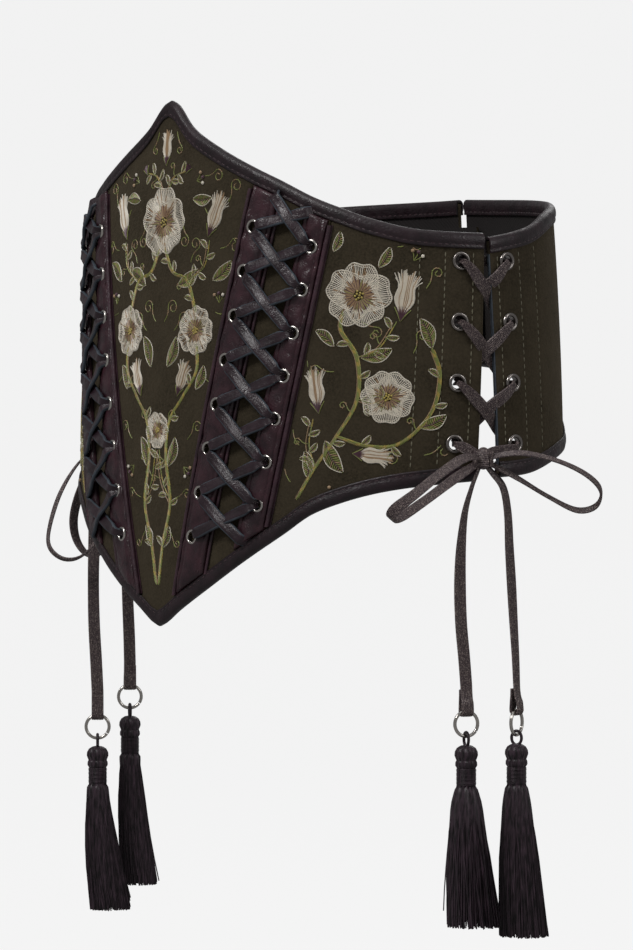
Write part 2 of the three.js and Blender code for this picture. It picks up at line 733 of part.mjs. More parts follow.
function sideStrand(first) {
  const rows = [];
  for (let k = 0; k < SIDE_EYELETS; k += 1) {
    const onFront = (k + first) % 2 === 0;
    const from = (onFront ? frontSideEyelet : backSideEyelet)(k);
    rows.push([from.s, from.z, UNDER_LEVEL, SQUEEZE], [from.s, from.z, OVER_LEVEL, SQUEEZE]);
    if (k + 1 === SIDE_EYELETS) break;
    const to = (onFront ? backSideEyelet : frontSideEyelet)(k + 1);
    const way = Math.sign(to.s - from.s);
    const slant = Math.hypot(to.s - from.s, to.z - from.z) / Math.abs(to.s - from.s);
    const nearEdge = (onFront ? gapFront : gapBack)((from.z + to.z) / 2);
    const farEdge = (onFront ? gapBack : gapFront)((from.z + to.z) / 2);
    const at = (s, off) => {
      const share = (s - from.s) / (to.s - from.s);
      rows.push([s, mix(from.z, to.z, share), off, slant]);
    };
    at(from.s + way * EYELET_FLANGE, OVER_LEVEL);
    at(nearEdge + way * OVER_EDGE, EDGE_LEVEL);
    at(farEdge - way * OVER_EDGE, UNDER_LEVEL);
    at(to.s - way * EYELET_FLANGE, UNDER_LEVEL - CLEARANCE);
  }
  return laceOnForm(rows, WOVEN_LACE_WIDTH, WOVEN_LACE_THICKNESS, true);
}

function sideLace() {
  const a = frontSideEyelet(0);
  const b = backSideEyelet(0);
  const run = every(4, (i) => [mix(a.s, b.s, i / 3), a.z, UNDER_LEVEL, INNER_RUN_WIDTH]);
  return fuse([sideStrand(0), sideStrand(1), laceOnForm(run, WOVEN_LACE_WIDTH, WOVEN_LACE_THICKNESS)]);
}

function sideEyelet({ s, z }) {
  const high = SHELL + CLEARANCE;
  const profile = [
    [EYELET_BORE, 0],
    [EYELET_BARREL, 0],
    [EYELET_BARREL, high],
    [EYELET_FLANGE, high],
    [EYELET_BORE, high + EYELET_PROUD],
    [EYELET_BORE, 0],
  ].map(([r, y]) => new THREE.Vector2(r, y));
  return outward(indexed(standing(new THREE.LatheGeometry(profile, EYELET_SIDES), s, z, 0)));
}

function indexed(geometry) {
  const plain = geometry.clone();
  for (const name of ['normal', 'uv']) plain.deleteAttribute(name);
  return mergeVertices(plain, 1e-4);
}

// The knot's middle, and points measured from it
const KNOT_HEIGHT = SIDE_BOTTOM + KNOT_RISE;
const KNOT_S = gapFront(KNOT_HEIGHT);

function fromKnot({ out, back, up }) {
  const frame = frameAt(KNOT_S);
  return place(KNOT_S, KNOT_HEIGHT, KNOT_OUT)
    .addScaledVector(frame.out, out)
    .addScaledVector(frame.back, back)
    .addScaledVector(frame.up, up);
}

function loopRibbon(table) {
  const points = table.map(({ out, back, up }) => fromKnot({
    out: out * LOOP_REACH,
    back: back * LOOP_REACH,
    up: up * LOOP_REACH,
  }));
  const middle = points[4].clone().add(points[5]).multiplyScalar(0.5);
  const span = middle.clone().sub(points[0]).normalize();
  const side = points[2].clone().sub(points[7]).normalize();
  const axis = span.cross(side).normalize();
  const rows = points.map((p) => ({ p, wide: axis, half: WOVEN_LACE_WIDTH / 2, thick: WOVEN_HALF }));
  return ribbon(rows);
}

// From the two lowest eyelets to the knot, the knot itself and its loops
function bow(loops) {
  const frame = frameAt(KNOT_S);
  const ball = new THREE.SphereGeometry(1, 8, 5);
  ball.applyMatrix4(new THREE.Matrix4().makeBasis(
    frame.out.clone().multiplyScalar(KNOT_DEEP),
    frame.back.clone().multiplyScalar(KNOT_WIDE),
    frame.up.clone().multiplyScalar(KNOT_HIGH),
  ));
  const middle = fromKnot({ out: 0, back: 0, up: 0 });
  ball.translate(middle.x, middle.y, middle.z);
  const leads = [frontSideEyelet, backSideEyelet].map((eyelet) => {
    const { s, z } = eyelet(SIDE_EYELETS - 1);
    const level = OVER_LEVEL + WOVEN_LACE_THICKNESS + CLEARANCE;
    const start = place(s, z, level);
    const end = fromKnot({ out: -1, back: 0, up: 0 });
    const between = start.clone().lerp(end, 0.4).addScaledVector(frame.out, LEAD_BULGE);
    const half = (WOVEN_LACE_WIDTH / 2) * LEAD_WIDTH;
    return ribbon([start, between, end].map((p) => ({ p, wide: frame.up, half, thick: WOVEN_HALF })));
  });
  return fuse([outward(indexed(ball)), ...leads, ...loops.map(loopRibbon)]);
}

// A tail's middle line: from below the knot down to its ring
const ringHeight = (drop) => KNOT_HEIGHT - drop;
const wireTop = (drop) => ringHeight(drop) + RING_RADIUS;
function tailRoute({ route, drop }) {
  const start = KNOT_HEIGHT - KNOT_HIGH - 4 * CLEARANCE;
  return route.map(({ out, back, down }) => {
    const p = fromKnot({ out, back, up: 0 });
    return p.setZ(mix(start, wireTop(drop) + FOLD_LENGTH, down));
  });
}

// Outward, backward and upward directions at the knot, turned round the upright by some degrees
function turnedFrame(turn) {
  const frame = frameAt(KNOT_S);
  const angle = THREE.MathUtils.degToRad(turn);
  for (const way of [frame.out, frame.back]) way.applyAxisAngle(frame.up, angle);
  return frame;
}

// A tail that twists on its way down, with its narrowed end folded up round the ring's wire
function tail(hang) {
  const row = (p, turn, share) => {
    const half = (WOVEN_LACE_WIDTH / 2) * share;
    return { p, wide: turnedFrame(turn).back, half, thick: WOVEN_HALF };
  };
  const route = tailRoute(hang);
  const foot = route[route.length - 1];
  const { out } = turnedFrame(hang.turn);
  const bend = RING_WIRE + 2 * CLEARANCE + WOVEN_HALF;
  const steps = 4;
  const fold = every(steps + 1, (k) => {
    const angle = (k / steps) * Math.PI;
    return foot.clone()
      .setZ(wireTop(hang.drop) - bend * Math.sin(angle))
      .addScaledVector(out, bend * Math.cos(angle));
  });
  fold.push(foot.clone().addScaledVector(out, -WOVEN_LACE_THICKNESS - CLEARANCE));
  return ribbon([
    ...route.map((p, i) => row(p, hang.turn * hang.route[i].down, 1)),
    ...fold.map((p) => row(p, hang.turn, FOLD_WIDTH)),
  ]);
}

const ringMiddle = (hang) => tailRoute(hang).pop().setZ(ringHeight(hang.drop));

function ring(hang) {
  const { out, back, up } = turnedFrame(hang.turn);
  const torus = new THREE.TorusGeometry(RING_RADIUS, RING_WIRE, 5, 10);
  torus.applyMatrix4(new THREE.Matrix4().makeBasis(back, up, out));
  const p = ringMiddle(hang);
  return outward(indexed(torus.translate(p.x, p.y, p.z)));
}

// Rings of the tassel's outline, from its top down: share of its length, share of its radius, and
// how deep the grooves between its locks are
const TASSEL_RINGS = [
  { down: 0, radius: 0.16, groove: 0 },
  { down: 0.03, radius: 0.4, groove: 0 },
  { down: 0.07, radius: 0.46, groove: 0 },
  { down: 0.2, radius: 0.38, groove: 0 },
  { down: 0.25, radius: 0.52, groove: 0.06 },
  { down: 0.5, radius: 0.72, groove: 0.14 },
  { down: 0.97, radius: 1, groove: 0.2 },
  { down: 1, radius: 0.94, groove: 0.24 },
];

function tassel(hang) {
  const middle = ringMiddle(hang);
  const loopHeight = middle.z - RING_RADIUS - TASSEL_LOOP + RING_WIRE + CLEARANCE + TASSEL_WIRE;
  const top = loopHeight - TASSEL_LOOP + TASSEL_WIRE;
  const points = TASSEL_LOCKS * 2;
  const rings = TASSEL_RINGS.map(({ down, radius, groove }) => every(points, (k) => {
    const turn = (k / points) * 2 * Math.PI;
    const r = TASSEL_RADIUS * radius * (k % 2 ? 1 - groove : 1);
    return new THREE.Vector3(
      middle.x + r * Math.cos(turn),
      middle.y + r * Math.sin(turn),
      top - TASSEL_LENGTH * down,
    );
  }));
  const outline = every(points, (k) => {
    const turn = (k / points) * 2 * Math.PI;
    return new THREE.Vector2(Math.cos(turn), Math.sin(turn));
  });
  const { out, back, up } = turnedFrame(hang.turn);
  const loop = new THREE.TorusGeometry(TASSEL_LOOP, TASSEL_WIRE, 5, 8);
  loop.applyMatrix4(new THREE.Matrix4().makeBasis(out, up, back.negate()));
  loop.translate(middle.x, middle.y, loopHeight);
  return fuse([loft(rings, capOf(outline)), outward(indexed(loop))]);
}

const group = new THREE.Group();
const shared = Object.fromEntries(Object.entries(MATERIALS).map(([name, look]) => [
  name,
  new THREE.MeshStandardMaterial(look),
]));

function add(name, geometry, material) {
  const mesh = new THREE.Mesh(geometry, shared[material]);
  mesh.name = name;
  group.add(mesh);
}

const centreFront = () => SEAM_HALF;

function overFront(edge, down) {
  return binding({ from: centreFront, to: gapFront, edge, down, steps: FRONT_BINDING_STEPS });
}

function overBack(edge, down) {
  return binding({ from: gapBack, to: centreBack, edge, down, steps: BACK_COLUMNS });
}

add('centre_front_panel', centreFrontPanel(), 'suede');
add('back_placket', backPlacket(), 'leather');

for (const { name, mirror, loops, tails } of SIDES) {
  const piece = (label, geometry, material) => {
    add(`${label}_${name}`, mirror ? mirrored(geometry) : geometry, material);
  };
  piece('lacing_gusset', lacingGusset(), 'suede');
  piece('inner_strip', innerStrip(), 'leather');
  piece('outer_strip', outerStrip(), 'leather');
  piece('side_panel', sidePanel(), 'suede');
  piece('back_panel', backPanel(), 'suede');
  piece('centre_piping', piping(centreSeam, frontBottom, frontTop), 'piping');
  piece('side_piping', piping(sideSeam, frontBottom, frontTop), 'piping');
  piece('front_top_binding', overFront(frontTop, -1), 'leather');
  piece('front_bottom_binding', overFront(frontBottom, 1), 'leather');
  piece('back_top_binding', overBack(backTop, -1), 'leather');
  piece('back_bottom_binding', overBack(backBottom, 1), 'leather');
  piece('front_lace', frontLace(), 'leatherLace');
  piece('side_lace', sideLace(), 'wovenLace');
  for (let k = 0; k < SIDE_EYELETS; k += 1) {
    piece(`front_side_eyelet_${k + 1}`, sideEyelet(frontSideEyelet(k)), 'metal');
    piece(`back_side_eyelet_${k + 1}`, sideEyelet(backSideEyelet(k)), 'metal');
  }
  piece('bow', bow(loops), 'wovenLace');
  for (const hang of tails) {
    piece(`${hang.end}_tail`, tail(hang), 'wovenLace');
    piece(`${hang.end}_ring`, ring(hang), 'metal');
    piece(`${hang.end}_tassel`, tassel(hang), 'yarn');
  }
}

export default group;
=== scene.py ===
"""Looks of an underbust corset belt: suede panels, leather strips and bindings, lacing, embroidery,
bows, tails and tassels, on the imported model.

Lengths are in millimetres until a mesh is made. Every piece is drawn as a flat pattern (s, z) and
wrapped on the body form: s runs round the waist from the centre front, z is the height and off is
the distance outward.
"""
import math
import random

import bpy
import numpy as np
from mathutils import Matrix, Vector


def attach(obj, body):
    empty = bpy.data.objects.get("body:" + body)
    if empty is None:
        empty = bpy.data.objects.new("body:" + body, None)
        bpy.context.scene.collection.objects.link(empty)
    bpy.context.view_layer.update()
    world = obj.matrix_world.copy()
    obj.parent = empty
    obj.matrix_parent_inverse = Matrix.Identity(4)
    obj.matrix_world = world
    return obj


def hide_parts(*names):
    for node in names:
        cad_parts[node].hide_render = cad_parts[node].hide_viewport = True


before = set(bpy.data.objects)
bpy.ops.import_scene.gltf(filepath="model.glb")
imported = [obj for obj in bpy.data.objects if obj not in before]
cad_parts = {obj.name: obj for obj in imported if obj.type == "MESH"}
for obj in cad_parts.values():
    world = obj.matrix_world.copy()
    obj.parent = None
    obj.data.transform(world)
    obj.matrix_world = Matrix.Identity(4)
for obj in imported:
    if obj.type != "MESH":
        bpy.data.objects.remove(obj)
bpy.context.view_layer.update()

bl_info = {
    "name": "Corset belt",
    "version": (1, 0, 0),
    "blender": (4, 5, 0),
    "location": "View3D > Sidebar > Corset belt",
    "description": "Suede, leather, lacing, embroidery and tassels of a corset belt",
    "category": "Object",
}

BODY = "root"
MM = 0.001
SIDES = {"left": 1, "right": -1}
UPWARD = np.array([0, 0, 1.0])

# Body form and the belt's own sizes, as in the solids
HALF_WIDTH = 130
HALF_DEPTH = 87
RIB_SHARE = 0.93
HIP_SHARE = 1.01
PEAK_HEIGHT = 106
SIDE_TOP = 46
SIDE_BOTTOM = -60.5
POINT_HEIGHT = -127
BACK_SIDE_TOP = 43
BACK_TOP = 65
BACK_BOTTOM = -11
SHELL = 2.2
STRIP_LOW = 2.6
STRIP_TOP = 4.6
CENTRE_HALF = 39.5
INNER_STRIP = 15.5
LACING_WINDOW = 15
OUTER_STRIP = 13.5
SIDE_PANEL = 76.5
SIDE_GAP = 6.2
BACK_GAP = 6
V_LEAN = 0.238
SIDE_SEAM_LEAN = 0.225
GAP_LEAN = 0.06
BACK_EDGE_LEAN = -0.02
PLACKET_WIDTH = 30
INNER_EYELETS = 8
INNER_DROP = 23
INNER_PITCH = 19.4
OUTER_EYELETS = 7
OUTER_DROP = 19.9
OUTER_PITCH = 18.7
STRIP_EYELET_SET = 6.4
SIDE_EYELETS = 4
SIDE_DROP = 12
SIDE_PITCH = 26.4
FRONT_EYELET_SET = 10.3
BACK_EYELET_SET = 8.8
LEATHER_LACE = (5.2, 1.5)
WOVEN_LACE = (5.6, 1.2)
KNOT_OUT = 8.4
KNOT_RISE = 8.5
LOOP_REACH = 50
RING_RADIUS = 5.4
RING_WIRE = 0.75
FOLD_LENGTH = 11

# Sizes and counts of the detail
HALF_SEAM = 0.15
SEAM_DEPTH = 0.35
SEAM_REACH = 1.1
EDGE_INSET = 1.8
GAP_EDGE_INSET = 6
SUEDE_STITCH_GAP = 0.9
SUEDE_STITCH_RADIUS = 0.3
# Other stitches: length, gap and radius
PLACKET_STITCH = (2.1, 0.9, 0.28)
STRIP_STITCH = (1.7, 1.2, 0.24)
BINDING_STITCH = (2.1, 0.95, 0.25)
FOLD_STITCH = (0.9, 0.25, 0.22)
PANEL_HOLE = 3.1
STRIP_HOLE = 2.45
STRIP_SEAM_INSET = 2.2
STRIP_INSET = 7.3
STRIP_STITCH_INSET = 9.5
STRIP_CREASES = 40
PIPING_RADIUS = 1.0
PIPING_INSET = 8.6
PIPING_LIFT = 0.25
FINE_PIPING_INSET = 8
PLACKET_OFF = (-3.2, -1.6)
PLACKET_SHORT = 13
JUMP_RING_GAP = 0.06
TASSEL_LOOP_RADIUS = 3
TASSEL_LOOP_CORD = 0.7
COLLAR_TURNS = 12
COLLAR_PITCH = 0.6
COLLAR_DEPTH = 10.7
COLLAR_RADIUS = 4.0
SKIRT_DEPTH = 17.0
STRAND_RADIUS = 0.32
STRAY_SHARE = 0.03
GOLDEN_ANGLE = 2.39996
SETTLING_PASSES = 24
SHARP_DEGREES = 50
EMBROIDERY_MARGIN = 8.2
# Eyelets: radii of the bore and the flange, how proud the flange stands and how deep the barrel goes
STRIP_EYELET = (2.1, 3.35, 0.75, 2.4)
SIDE_EYELET = (2.5, 4.15, 0.95, 2.2)
SIDE_WASHER = (2.55, 3.9, -0.5, -1.0)

# The picture's camera, in metres: its lens in mm, its place and its right, up and back directions
CAMERA_LENS = 326.8
CAMERA_PLACE = (2.0489, -1.6018, -0.0066)
CAMERA_AXES = ((0.61566, 0.78801, 0), (-0.0165, 0.0129, 0.99978), (0.78784, -0.61553, 0.02094))
# The bowl-shaped backdrop, in metres
FLOOR_RADIUS = 9
BOWL_BEND = 4
BOWL_TOP = 14
FLOOR_DROP = 0.42
# The backdrop's brightness to the belt and to the camera
BACKDROP_GLOW = (0.2, 0.874)
AIMED_AT = Vector((0, 0, -0.05))
WORLD_STRENGTH = 0.3

# Edge lines: share of the way along, and share of the way from the low level to the high one
FRONT_TOP_LINE = (
    (0, 1), (0.03, 0.965), (0.1, 0.8), (0.22, 0.635), (0.34, 0.495), (0.44, 0.385),
    (0.54, 0.263), (0.64, 0.165), (0.7, 0.11), (0.83, 0.03), (1.05, 0),
)
FRONT_BOTTOM_LINE = (
    (0, 1), (0.03, 0.97), (0.08, 0.895), (0.2, 0.73), (0.33, 0.54), (0.45, 0.366),
    (0.53, 0.24), (0.62, 0.155), (0.72, 0.09), (0.84, 0.045), (1.05, 0),
)
BACK_TOP_LINE = ((-0.05, 0), (0.13, 0.27), (0.27, 0.62), (0.5, 0.86), (1.02, 1))
BACK_BOTTOM_LINE = (
    (-0.05, 0), (0.1, 0.04), (0.24, 0.16), (0.39, 0.27), (0.55, 0.5), (0.7, 0.75),
    (0.85, 0.93), (1.02, 1),
)

# Loops of the bows, as shares of their reach from the knot's middle: out, back and up
LOOPS = {
    "left": {
        "front": (
            (0.03, -0.03, 0.02), (0.14, -0.24, 0.02), (0.2, -0.48, -0.1), (0.18, -0.72, -0.28),
            (0.1, -0.88, -0.42), (0.02, -0.88, -0.5), (-0.02, -0.76, -0.48), (0, -0.54, -0.34),
            (0.02, -0.28, -0.16), (0, -0.04, -0.02),
        ),
        "back": (
            (0.03, 0.03, 0.02), (0.18, 0.26, 0.06), (0.3, 0.54, 0), (0.36, 0.8, -0.12),
            (0.34, 0.96, -0.26), (0.26, 0.96, -0.4), (0.16, 0.82, -0.44), (0.08, 0.58, -0.32),
            (0.06, 0.3, -0.16), (0, 0.04, -0.02),
        ),
    },
    "right": {
        "front": (
            (0.03, -0.03, 0.02), (0.16, -0.2, -0.08), (0.28, -0.36, -0.38), (0.32, -0.48, -0.72),
            (0.26, -0.54, -0.9), (0.1, -0.52, -1), (-0.06, -0.44, -0.96), (-0.08, -0.22, -0.76),
            (-0.06, -0.08, -0.36), (-0.02, 0, 0),
        ),
        "back": (
            (0.03, 0.02, 0.02), (0.18, 0.04, -0.1), (0.32, 0, -0.34), (0.42, 0, -0.62),
            (0.42, 0.04, -0.84), (0.3, 0.06, -0.98), (0.18, 0.08, -0.96), (0.12, 0.08, -0.72),
            (0.12, 0.04, -0.36), (0.04, 0.01, -0.02),
        ),
    },
}
# Routes of the tails: out and back in mm from the knot's middle, and the share of the way down
TAILS = {
    "front": (
        (0.5, -3, 0), (1, -6, 0.07), (0.5, -9, 0.19), (0, -10.5, 0.35), (0, -11, 0.52),
        (0, -10.5, 0.7), (0, -9, 0.87), (0, -8, 1),
    ),
    "back": (
        (0.5, 4, 0), (1, 9, 0.07), (0.5, 11.5, 0.19), (0, 12.5, 0.35), (0, 13.5, 0.52),
        (0, 14.5, 0.7), (0, 15.5, 0.87), (0, 16, 1),
    ),
}
# The camera's right, along which the skirts lean
LEAN_WAY = (0.6157, 0.788)
# Lengths and widest radii of the tassels' skirts, and how far each one leans towards the camera's right
SKIRTS = {
    "left": {"front": (79, 11.4, 3.4), "back": (84, 10.4, 3.4)},
    "right": {"front": (77, 9.2, 6.0), "back": (80, 8.0, 4.5)},
}
# How far the middle of each ring hangs below the knot's, and how far it is turned, in degrees
HANGS = {
    "left": {"front": (114, 0), "back": (114, 38)},
    "right": {"front": (129, 50), "back": (116, 44)},
}


def blend(a, b, t):
    """The value at a share t of the way from a to b."""
    return a + (b - a) * t


def line_through(rows):
    """A smooth line through rows of (x, y), the same as the one that shapes the solids."""
    x, y = np.array(rows, float).T
    last = len(x) - 1
    before = np.maximum(np.arange(last + 1) - 1, 0)
    after = np.minimum(np.arange(last + 1) + 1, last)
    slope = (y[after] - y[before]) / (x[after] - x[before])

    def value(at):
        i = np.clip(np.searchsorted(x, at) - 1, 0, last - 1)
        span = x[i + 1] - x[i]
        t = np.clip((at - x[i]) / span, 0, 1)
        bend = t * (1 - t) * ((1 - t) * slope[i] - t * slope[i + 1]) * span
        return y[i] + t * t * (3 - 2 * t) * (y[i + 1] - y[i]) + bend

    return value


RIB_SLOPE = (RIB_SHARE - 1) / PEAK_HEIGHT
HIP_SLOPE = (HIP_SHARE - 1) / POINT_HEIGHT
FORM_CURVE = (RIB_SLOPE - HIP_SLOPE) / (PEAK_HEIGHT - POINT_HEIGHT)
FORM_LEAN = RIB_SLOPE - FORM_CURVE * PEAK_HEIGHT
ARC_STEPS = 720
ANGLES = np.linspace(0, math.pi, ARC_STEPS + 1)
MIDDLES = (ANGLES[:-1] + ANGLES[1:]) / 2
SPEEDS = np.hypot(HALF_WIDTH * np.cos(MIDDLES), HALF_DEPTH * np.sin(MIDDLES))
ARC = np.concatenate([[0], np.cumsum(SPEEDS * math.pi / ARC_STEPS)])
HALF_ROUND = ARC[-1]


def angle_at(s):
    """Angle on the ellipse at a distance round the waist, past the centre back too."""
    far = np.abs(s)
    folded = np.where(far > HALF_ROUND, 2 * HALF_ROUND - far, far)
    angle = np.interp(folded, ARC, ANGLES)
    return np.sign(s) * np.where(far > HALF_ROUND, 2 * math.pi - angle, angle)


def directions(s):
    """Outward and backward directions on the form."""
    angle = angle_at(np.asarray(s, float))
    out = np.stack([np.sin(angle) / HALF_WIDTH, -np.cos(angle) / HALF_DEPTH, 0 * angle], -1)
    out /= np.linalg.norm(out, axis=-1, keepdims=True)
    back = np.stack([-out[..., 1], out[..., 0], 0 * angle], -1)
    return out, back


def place(s, z, off=0.0):
    """Points on the form, in mm."""
    s, z, off = np.broadcast_arrays(*(np.asarray(v, float) for v in (s, z, off)))
    angle = angle_at(s)
    scale = 1 + FORM_LEAN * z + FORM_CURVE * z * z
    flat = np.stack([HALF_WIDTH * np.sin(angle) * scale, -HALF_DEPTH * np.cos(angle) * scale, z], -1)
    return flat + directions(s)[0] * off[..., None]


# Seams and gap edges of the wearer's left half, at a height, and edge lines at a distance round
def centre_seam(z):
    return CENTRE_HALF + V_LEAN * z


def window_start(z):
    return centre_seam(z) + INNER_STRIP


def window_end(z):
    return window_start(z) + LACING_WINDOW


SIDE_SEAM = CENTRE_HALF + INNER_STRIP + LACING_WINDOW + OUTER_STRIP
FRONT_REACH = SIDE_SEAM + SIDE_PANEL


def side_seam(z):
    return SIDE_SEAM + SIDE_SEAM_LEAN * z


def gap_front(z):
    return FRONT_REACH + GAP_LEAN * z


def gap_back(z):
    return FRONT_REACH + SIDE_GAP + BACK_EDGE_LEAN * z


def centre_back(z):
    return HALF_ROUND - BACK_GAP / 2 + 0 * z


BACK_START = FRONT_REACH + SIDE_GAP
FRONT_TOP_SHARE = line_through(FRONT_TOP_LINE)
FRONT_BOTTOM_SHARE = line_through(FRONT_BOTTOM_LINE)
BACK_TOP_SHARE = line_through(BACK_TOP_LINE)
BACK_BOTTOM_SHARE = line_through(BACK_BOTTOM_LINE)


def front_top(s):
    return blend(SIDE_TOP, PEAK_HEIGHT, FRONT_TOP_SHARE(np.abs(s) / FRONT_REACH))


def front_bottom(s):
    return blend(SIDE_BOTTOM, POINT_HEIGHT, FRONT_BOTTOM_SHARE(np.abs(s) / FRONT_REACH))


def back_top(s):
    return blend(BACK_SIDE_TOP, BACK_TOP, BACK_TOP_SHARE((s - BACK_START) / (HALF_ROUND - BACK_START)))


def back_bottom(s):
    return blend(SIDE_BOTTOM, BACK_BOTTOM, BACK_BOTTOM_SHARE((s - BACK_START) / (HALF_ROUND - BACK_START)))


def seam_meets(seam, edge):
    """Height where a leaning seam meets an edge line."""
    z = 0.0
    for _ in range(20):
        z = float(edge(seam(z)))
    return z


def inner_line(z):
    return centre_seam(z) + STRIP_EYELET_SET


def outer_line(z):
    return side_seam(z) - STRIP_EYELET_SET


def front_side_line(z):
    return gap_front(z) - FRONT_EYELET_SET


def back_side_line(z):
    return gap_back(z) + BACK_EYELET_SET


def eyelet_spots(line, first, pitch, count):
    heights = [first - pitch * k for k in range(count)]
    return [(float(line(z)), z) for z in heights]


INNER_SPOTS = eyelet_spots(inner_line, seam_meets(inner_line, front_top) - INNER_DROP, INNER_PITCH, INNER_EYELETS)
OUTER_SPOTS = eyelet_spots(outer_line, seam_meets(outer_line, front_top) - OUTER_DROP, OUTER_PITCH, OUTER_EYELETS)
FRONT_SIDE_SPOTS = eyelet_spots(front_side_line, SIDE_TOP - SIDE_DROP, SIDE_PITCH, SIDE_EYELETS)
BACK_SIDE_SPOTS = eyelet_spots(back_side_line, SIDE_TOP - SIDE_DROP, SIDE_PITCH, SIDE_EYELETS)


# Meshes

def linked(name, data):
    """A new object in the scene."""
    obj = bpy.data.objects.new(name, data)
    bpy.context.scene.collection.objects.link(obj)
    return obj


class Gather:
    """Joins many small meshes into one, with a material number for every face.

    inside, where it is given, tells whether pattern points lie where thread may be sewn.
    """

    def __init__(self, inside=None):
        self.points, self.faces, self.slots, self.count = [], [], [], 0
        self.inside = inside

    def add(self, points, faces, slot=0):
        self.points.append(np.asarray(points, float).reshape(-1, 3))
        self.faces += [tuple(i + self.count for i in face) for face in faces]
        self.slots += [slot] * len(faces)
        self.count += len(self.points[-1])

    def piece(self, name, materials, replaces=()):
        """Makes the object, which rides on the belt; materials are given by name."""
        if not self.points:
            raise RuntimeError(f"{name} has no faces")
        mesh = bpy.data.meshes.new(name)
        mesh.from_pydata((np.concatenate(self.points) * MM).tolist(), [], self.faces)
        mesh.polygons.foreach_set("material_index", self.slots)
        mesh.polygons.foreach_set("use_smooth", [True] * len(self.faces))
        for material in materials:
            mesh.materials.append(make_materials()[material])
        mesh.update()
        mesh.set_sharp_from_angle(angle=math.radians(SHARP_DEGREES))
        obj = linked(name, mesh)
        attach(obj, BODY)
        if replaces:
            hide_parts(*replaces)
        return obj

    def sided(self, side, name, materials, slot, *nodes):
        """Makes one side's piece of what was gathered for the wearer's left, in place of the side's nodes."""
        if SIDES[side] < 0:
            self.points = [points * np.array([-1, 1, 1]) for points in self.points]
            self.faces = [face[::-1] for face in self.faces]
        return self.piece(f"{name}_{side}", materials, [f"{node}_{side}" for node in nodes])


def bell(x, middle, reach):
    """A bell-shaped bump, 1 high at its middle."""
    return np.exp(-((x - middle) / reach) ** 2)


def unit(v):
    return v / np.maximum(np.linalg.norm(v, axis=-1, keepdims=True), 1e-9)


def heading(line):
    """Directions ahead along a line."""
    return unit(np.gradient(line, axis=0))


def ring_faces(rows, columns, closed=False, caps=True):
    """Faces of a tube made of rows of points."""
    faces = []
    for r in range(rows if closed else rows - 1):
        a, b = r * columns, (r + 1) % rows * columns
        faces += [(a + c, a + (c + 1) % columns, b + (c + 1) % columns, b + c) for c in range(columns)]
    if caps and not closed:
        faces += [tuple(range(columns))[::-1], tuple((rows - 1) * columns + c for c in range(columns))]
    return faces


def sweep(points, wides, outs, profile, closed=False):
    """A section carried along points: profile rows are (across, out) and may change along the way."""
    profile = np.broadcast_to(np.asarray(profile, float), (len(points),) + np.shape(profile)[-2:])
    grid = points[:, None] + profile[..., :1] * wides[:, None] + profile[..., 1:] * outs[:, None]
    return grid.reshape(-1, 3), ring_faces(len(points), profile.shape[1], closed)


def round_section(radius_wide, radius_out=None, sides=8):
    angle = circle_of(sides)
    return np.stack([radius_wide * np.cos(angle), (radius_out or radius_wide) * np.sin(angle)], -1)


def soft_section(width, low, high, power, sides):
    """A flat section with rounded edges."""
    angle = (np.arange(sides) + 0.5) / sides * 2 * math.pi
    c, s = np.cos(angle), np.sin(angle)
    across = np.sign(c) * np.abs(c) ** (2 / power) * width / 2
    out = np.sign(s) * np.abs(s) ** (2 / power)
    return np.stack([across, (low + high) / 2 + out * (high - low) / 2], -1)


def frames_along(points, out_hint):
    """Across and outward directions along a line, square to it."""
    ahead = heading(points)
    wides = unit(np.cross(ahead, out_hint))
    return ahead, wides, unit(np.cross(wides, ahead))


def smooth_line(points, count):
    """Even points on a smooth line through the given ones."""
    points = np.asarray(points, float)
    n = len(points)
    before = np.concatenate([[2 * points[0] - points[1]], points[:-1]])
    after = np.concatenate([points[1:], [2 * points[-1] - points[-2]]])
    slope = (after - before) / 2
    t = np.linspace(0, n - 1 - 1e-9, max(16 * n, 4 * count))
    i, f = t.astype(int), (t % 1)[:, None]
    line = ((2 * f ** 3 - 3 * f ** 2 + 1) * points[i] + (f ** 3 - 2 * f ** 2 + f) * slope[i]
            + (3 * f ** 2 - 2 * f ** 3) * points[i + 1] + (f ** 3 - f ** 2) * slope[i + 1])
    return resample(line, count)


def run_along(line):
    """The distance along a line at each of its points."""
    return np.concatenate([[0], np.cumsum(np.linalg.norm(np.diff(line, axis=0), axis=1))])


def line_length(line):
    return float(run_along(line)[-1])


def at_run(line, run, at):
    """Points, or other rows of values, at some distances along a line."""
    return np.stack([np.interp(at, run, line[:, k]) for k in range(line.shape[1])], -1)


def resample(line, count):
    """The same line with points at even distances."""
    run = run_along(line)
    return at_run(line, run, np.linspace(0, run[-1], count))


def squared(wides, ahead):
    """Directions across a line, made square to it."""
    return unit(wides - ahead * (wides * ahead).sum(-1, keepdims=True))


def circle_of(sides):
    """Angles of even points round a circle."""
    return np.arange(sides) / sides * 2 * math.pi


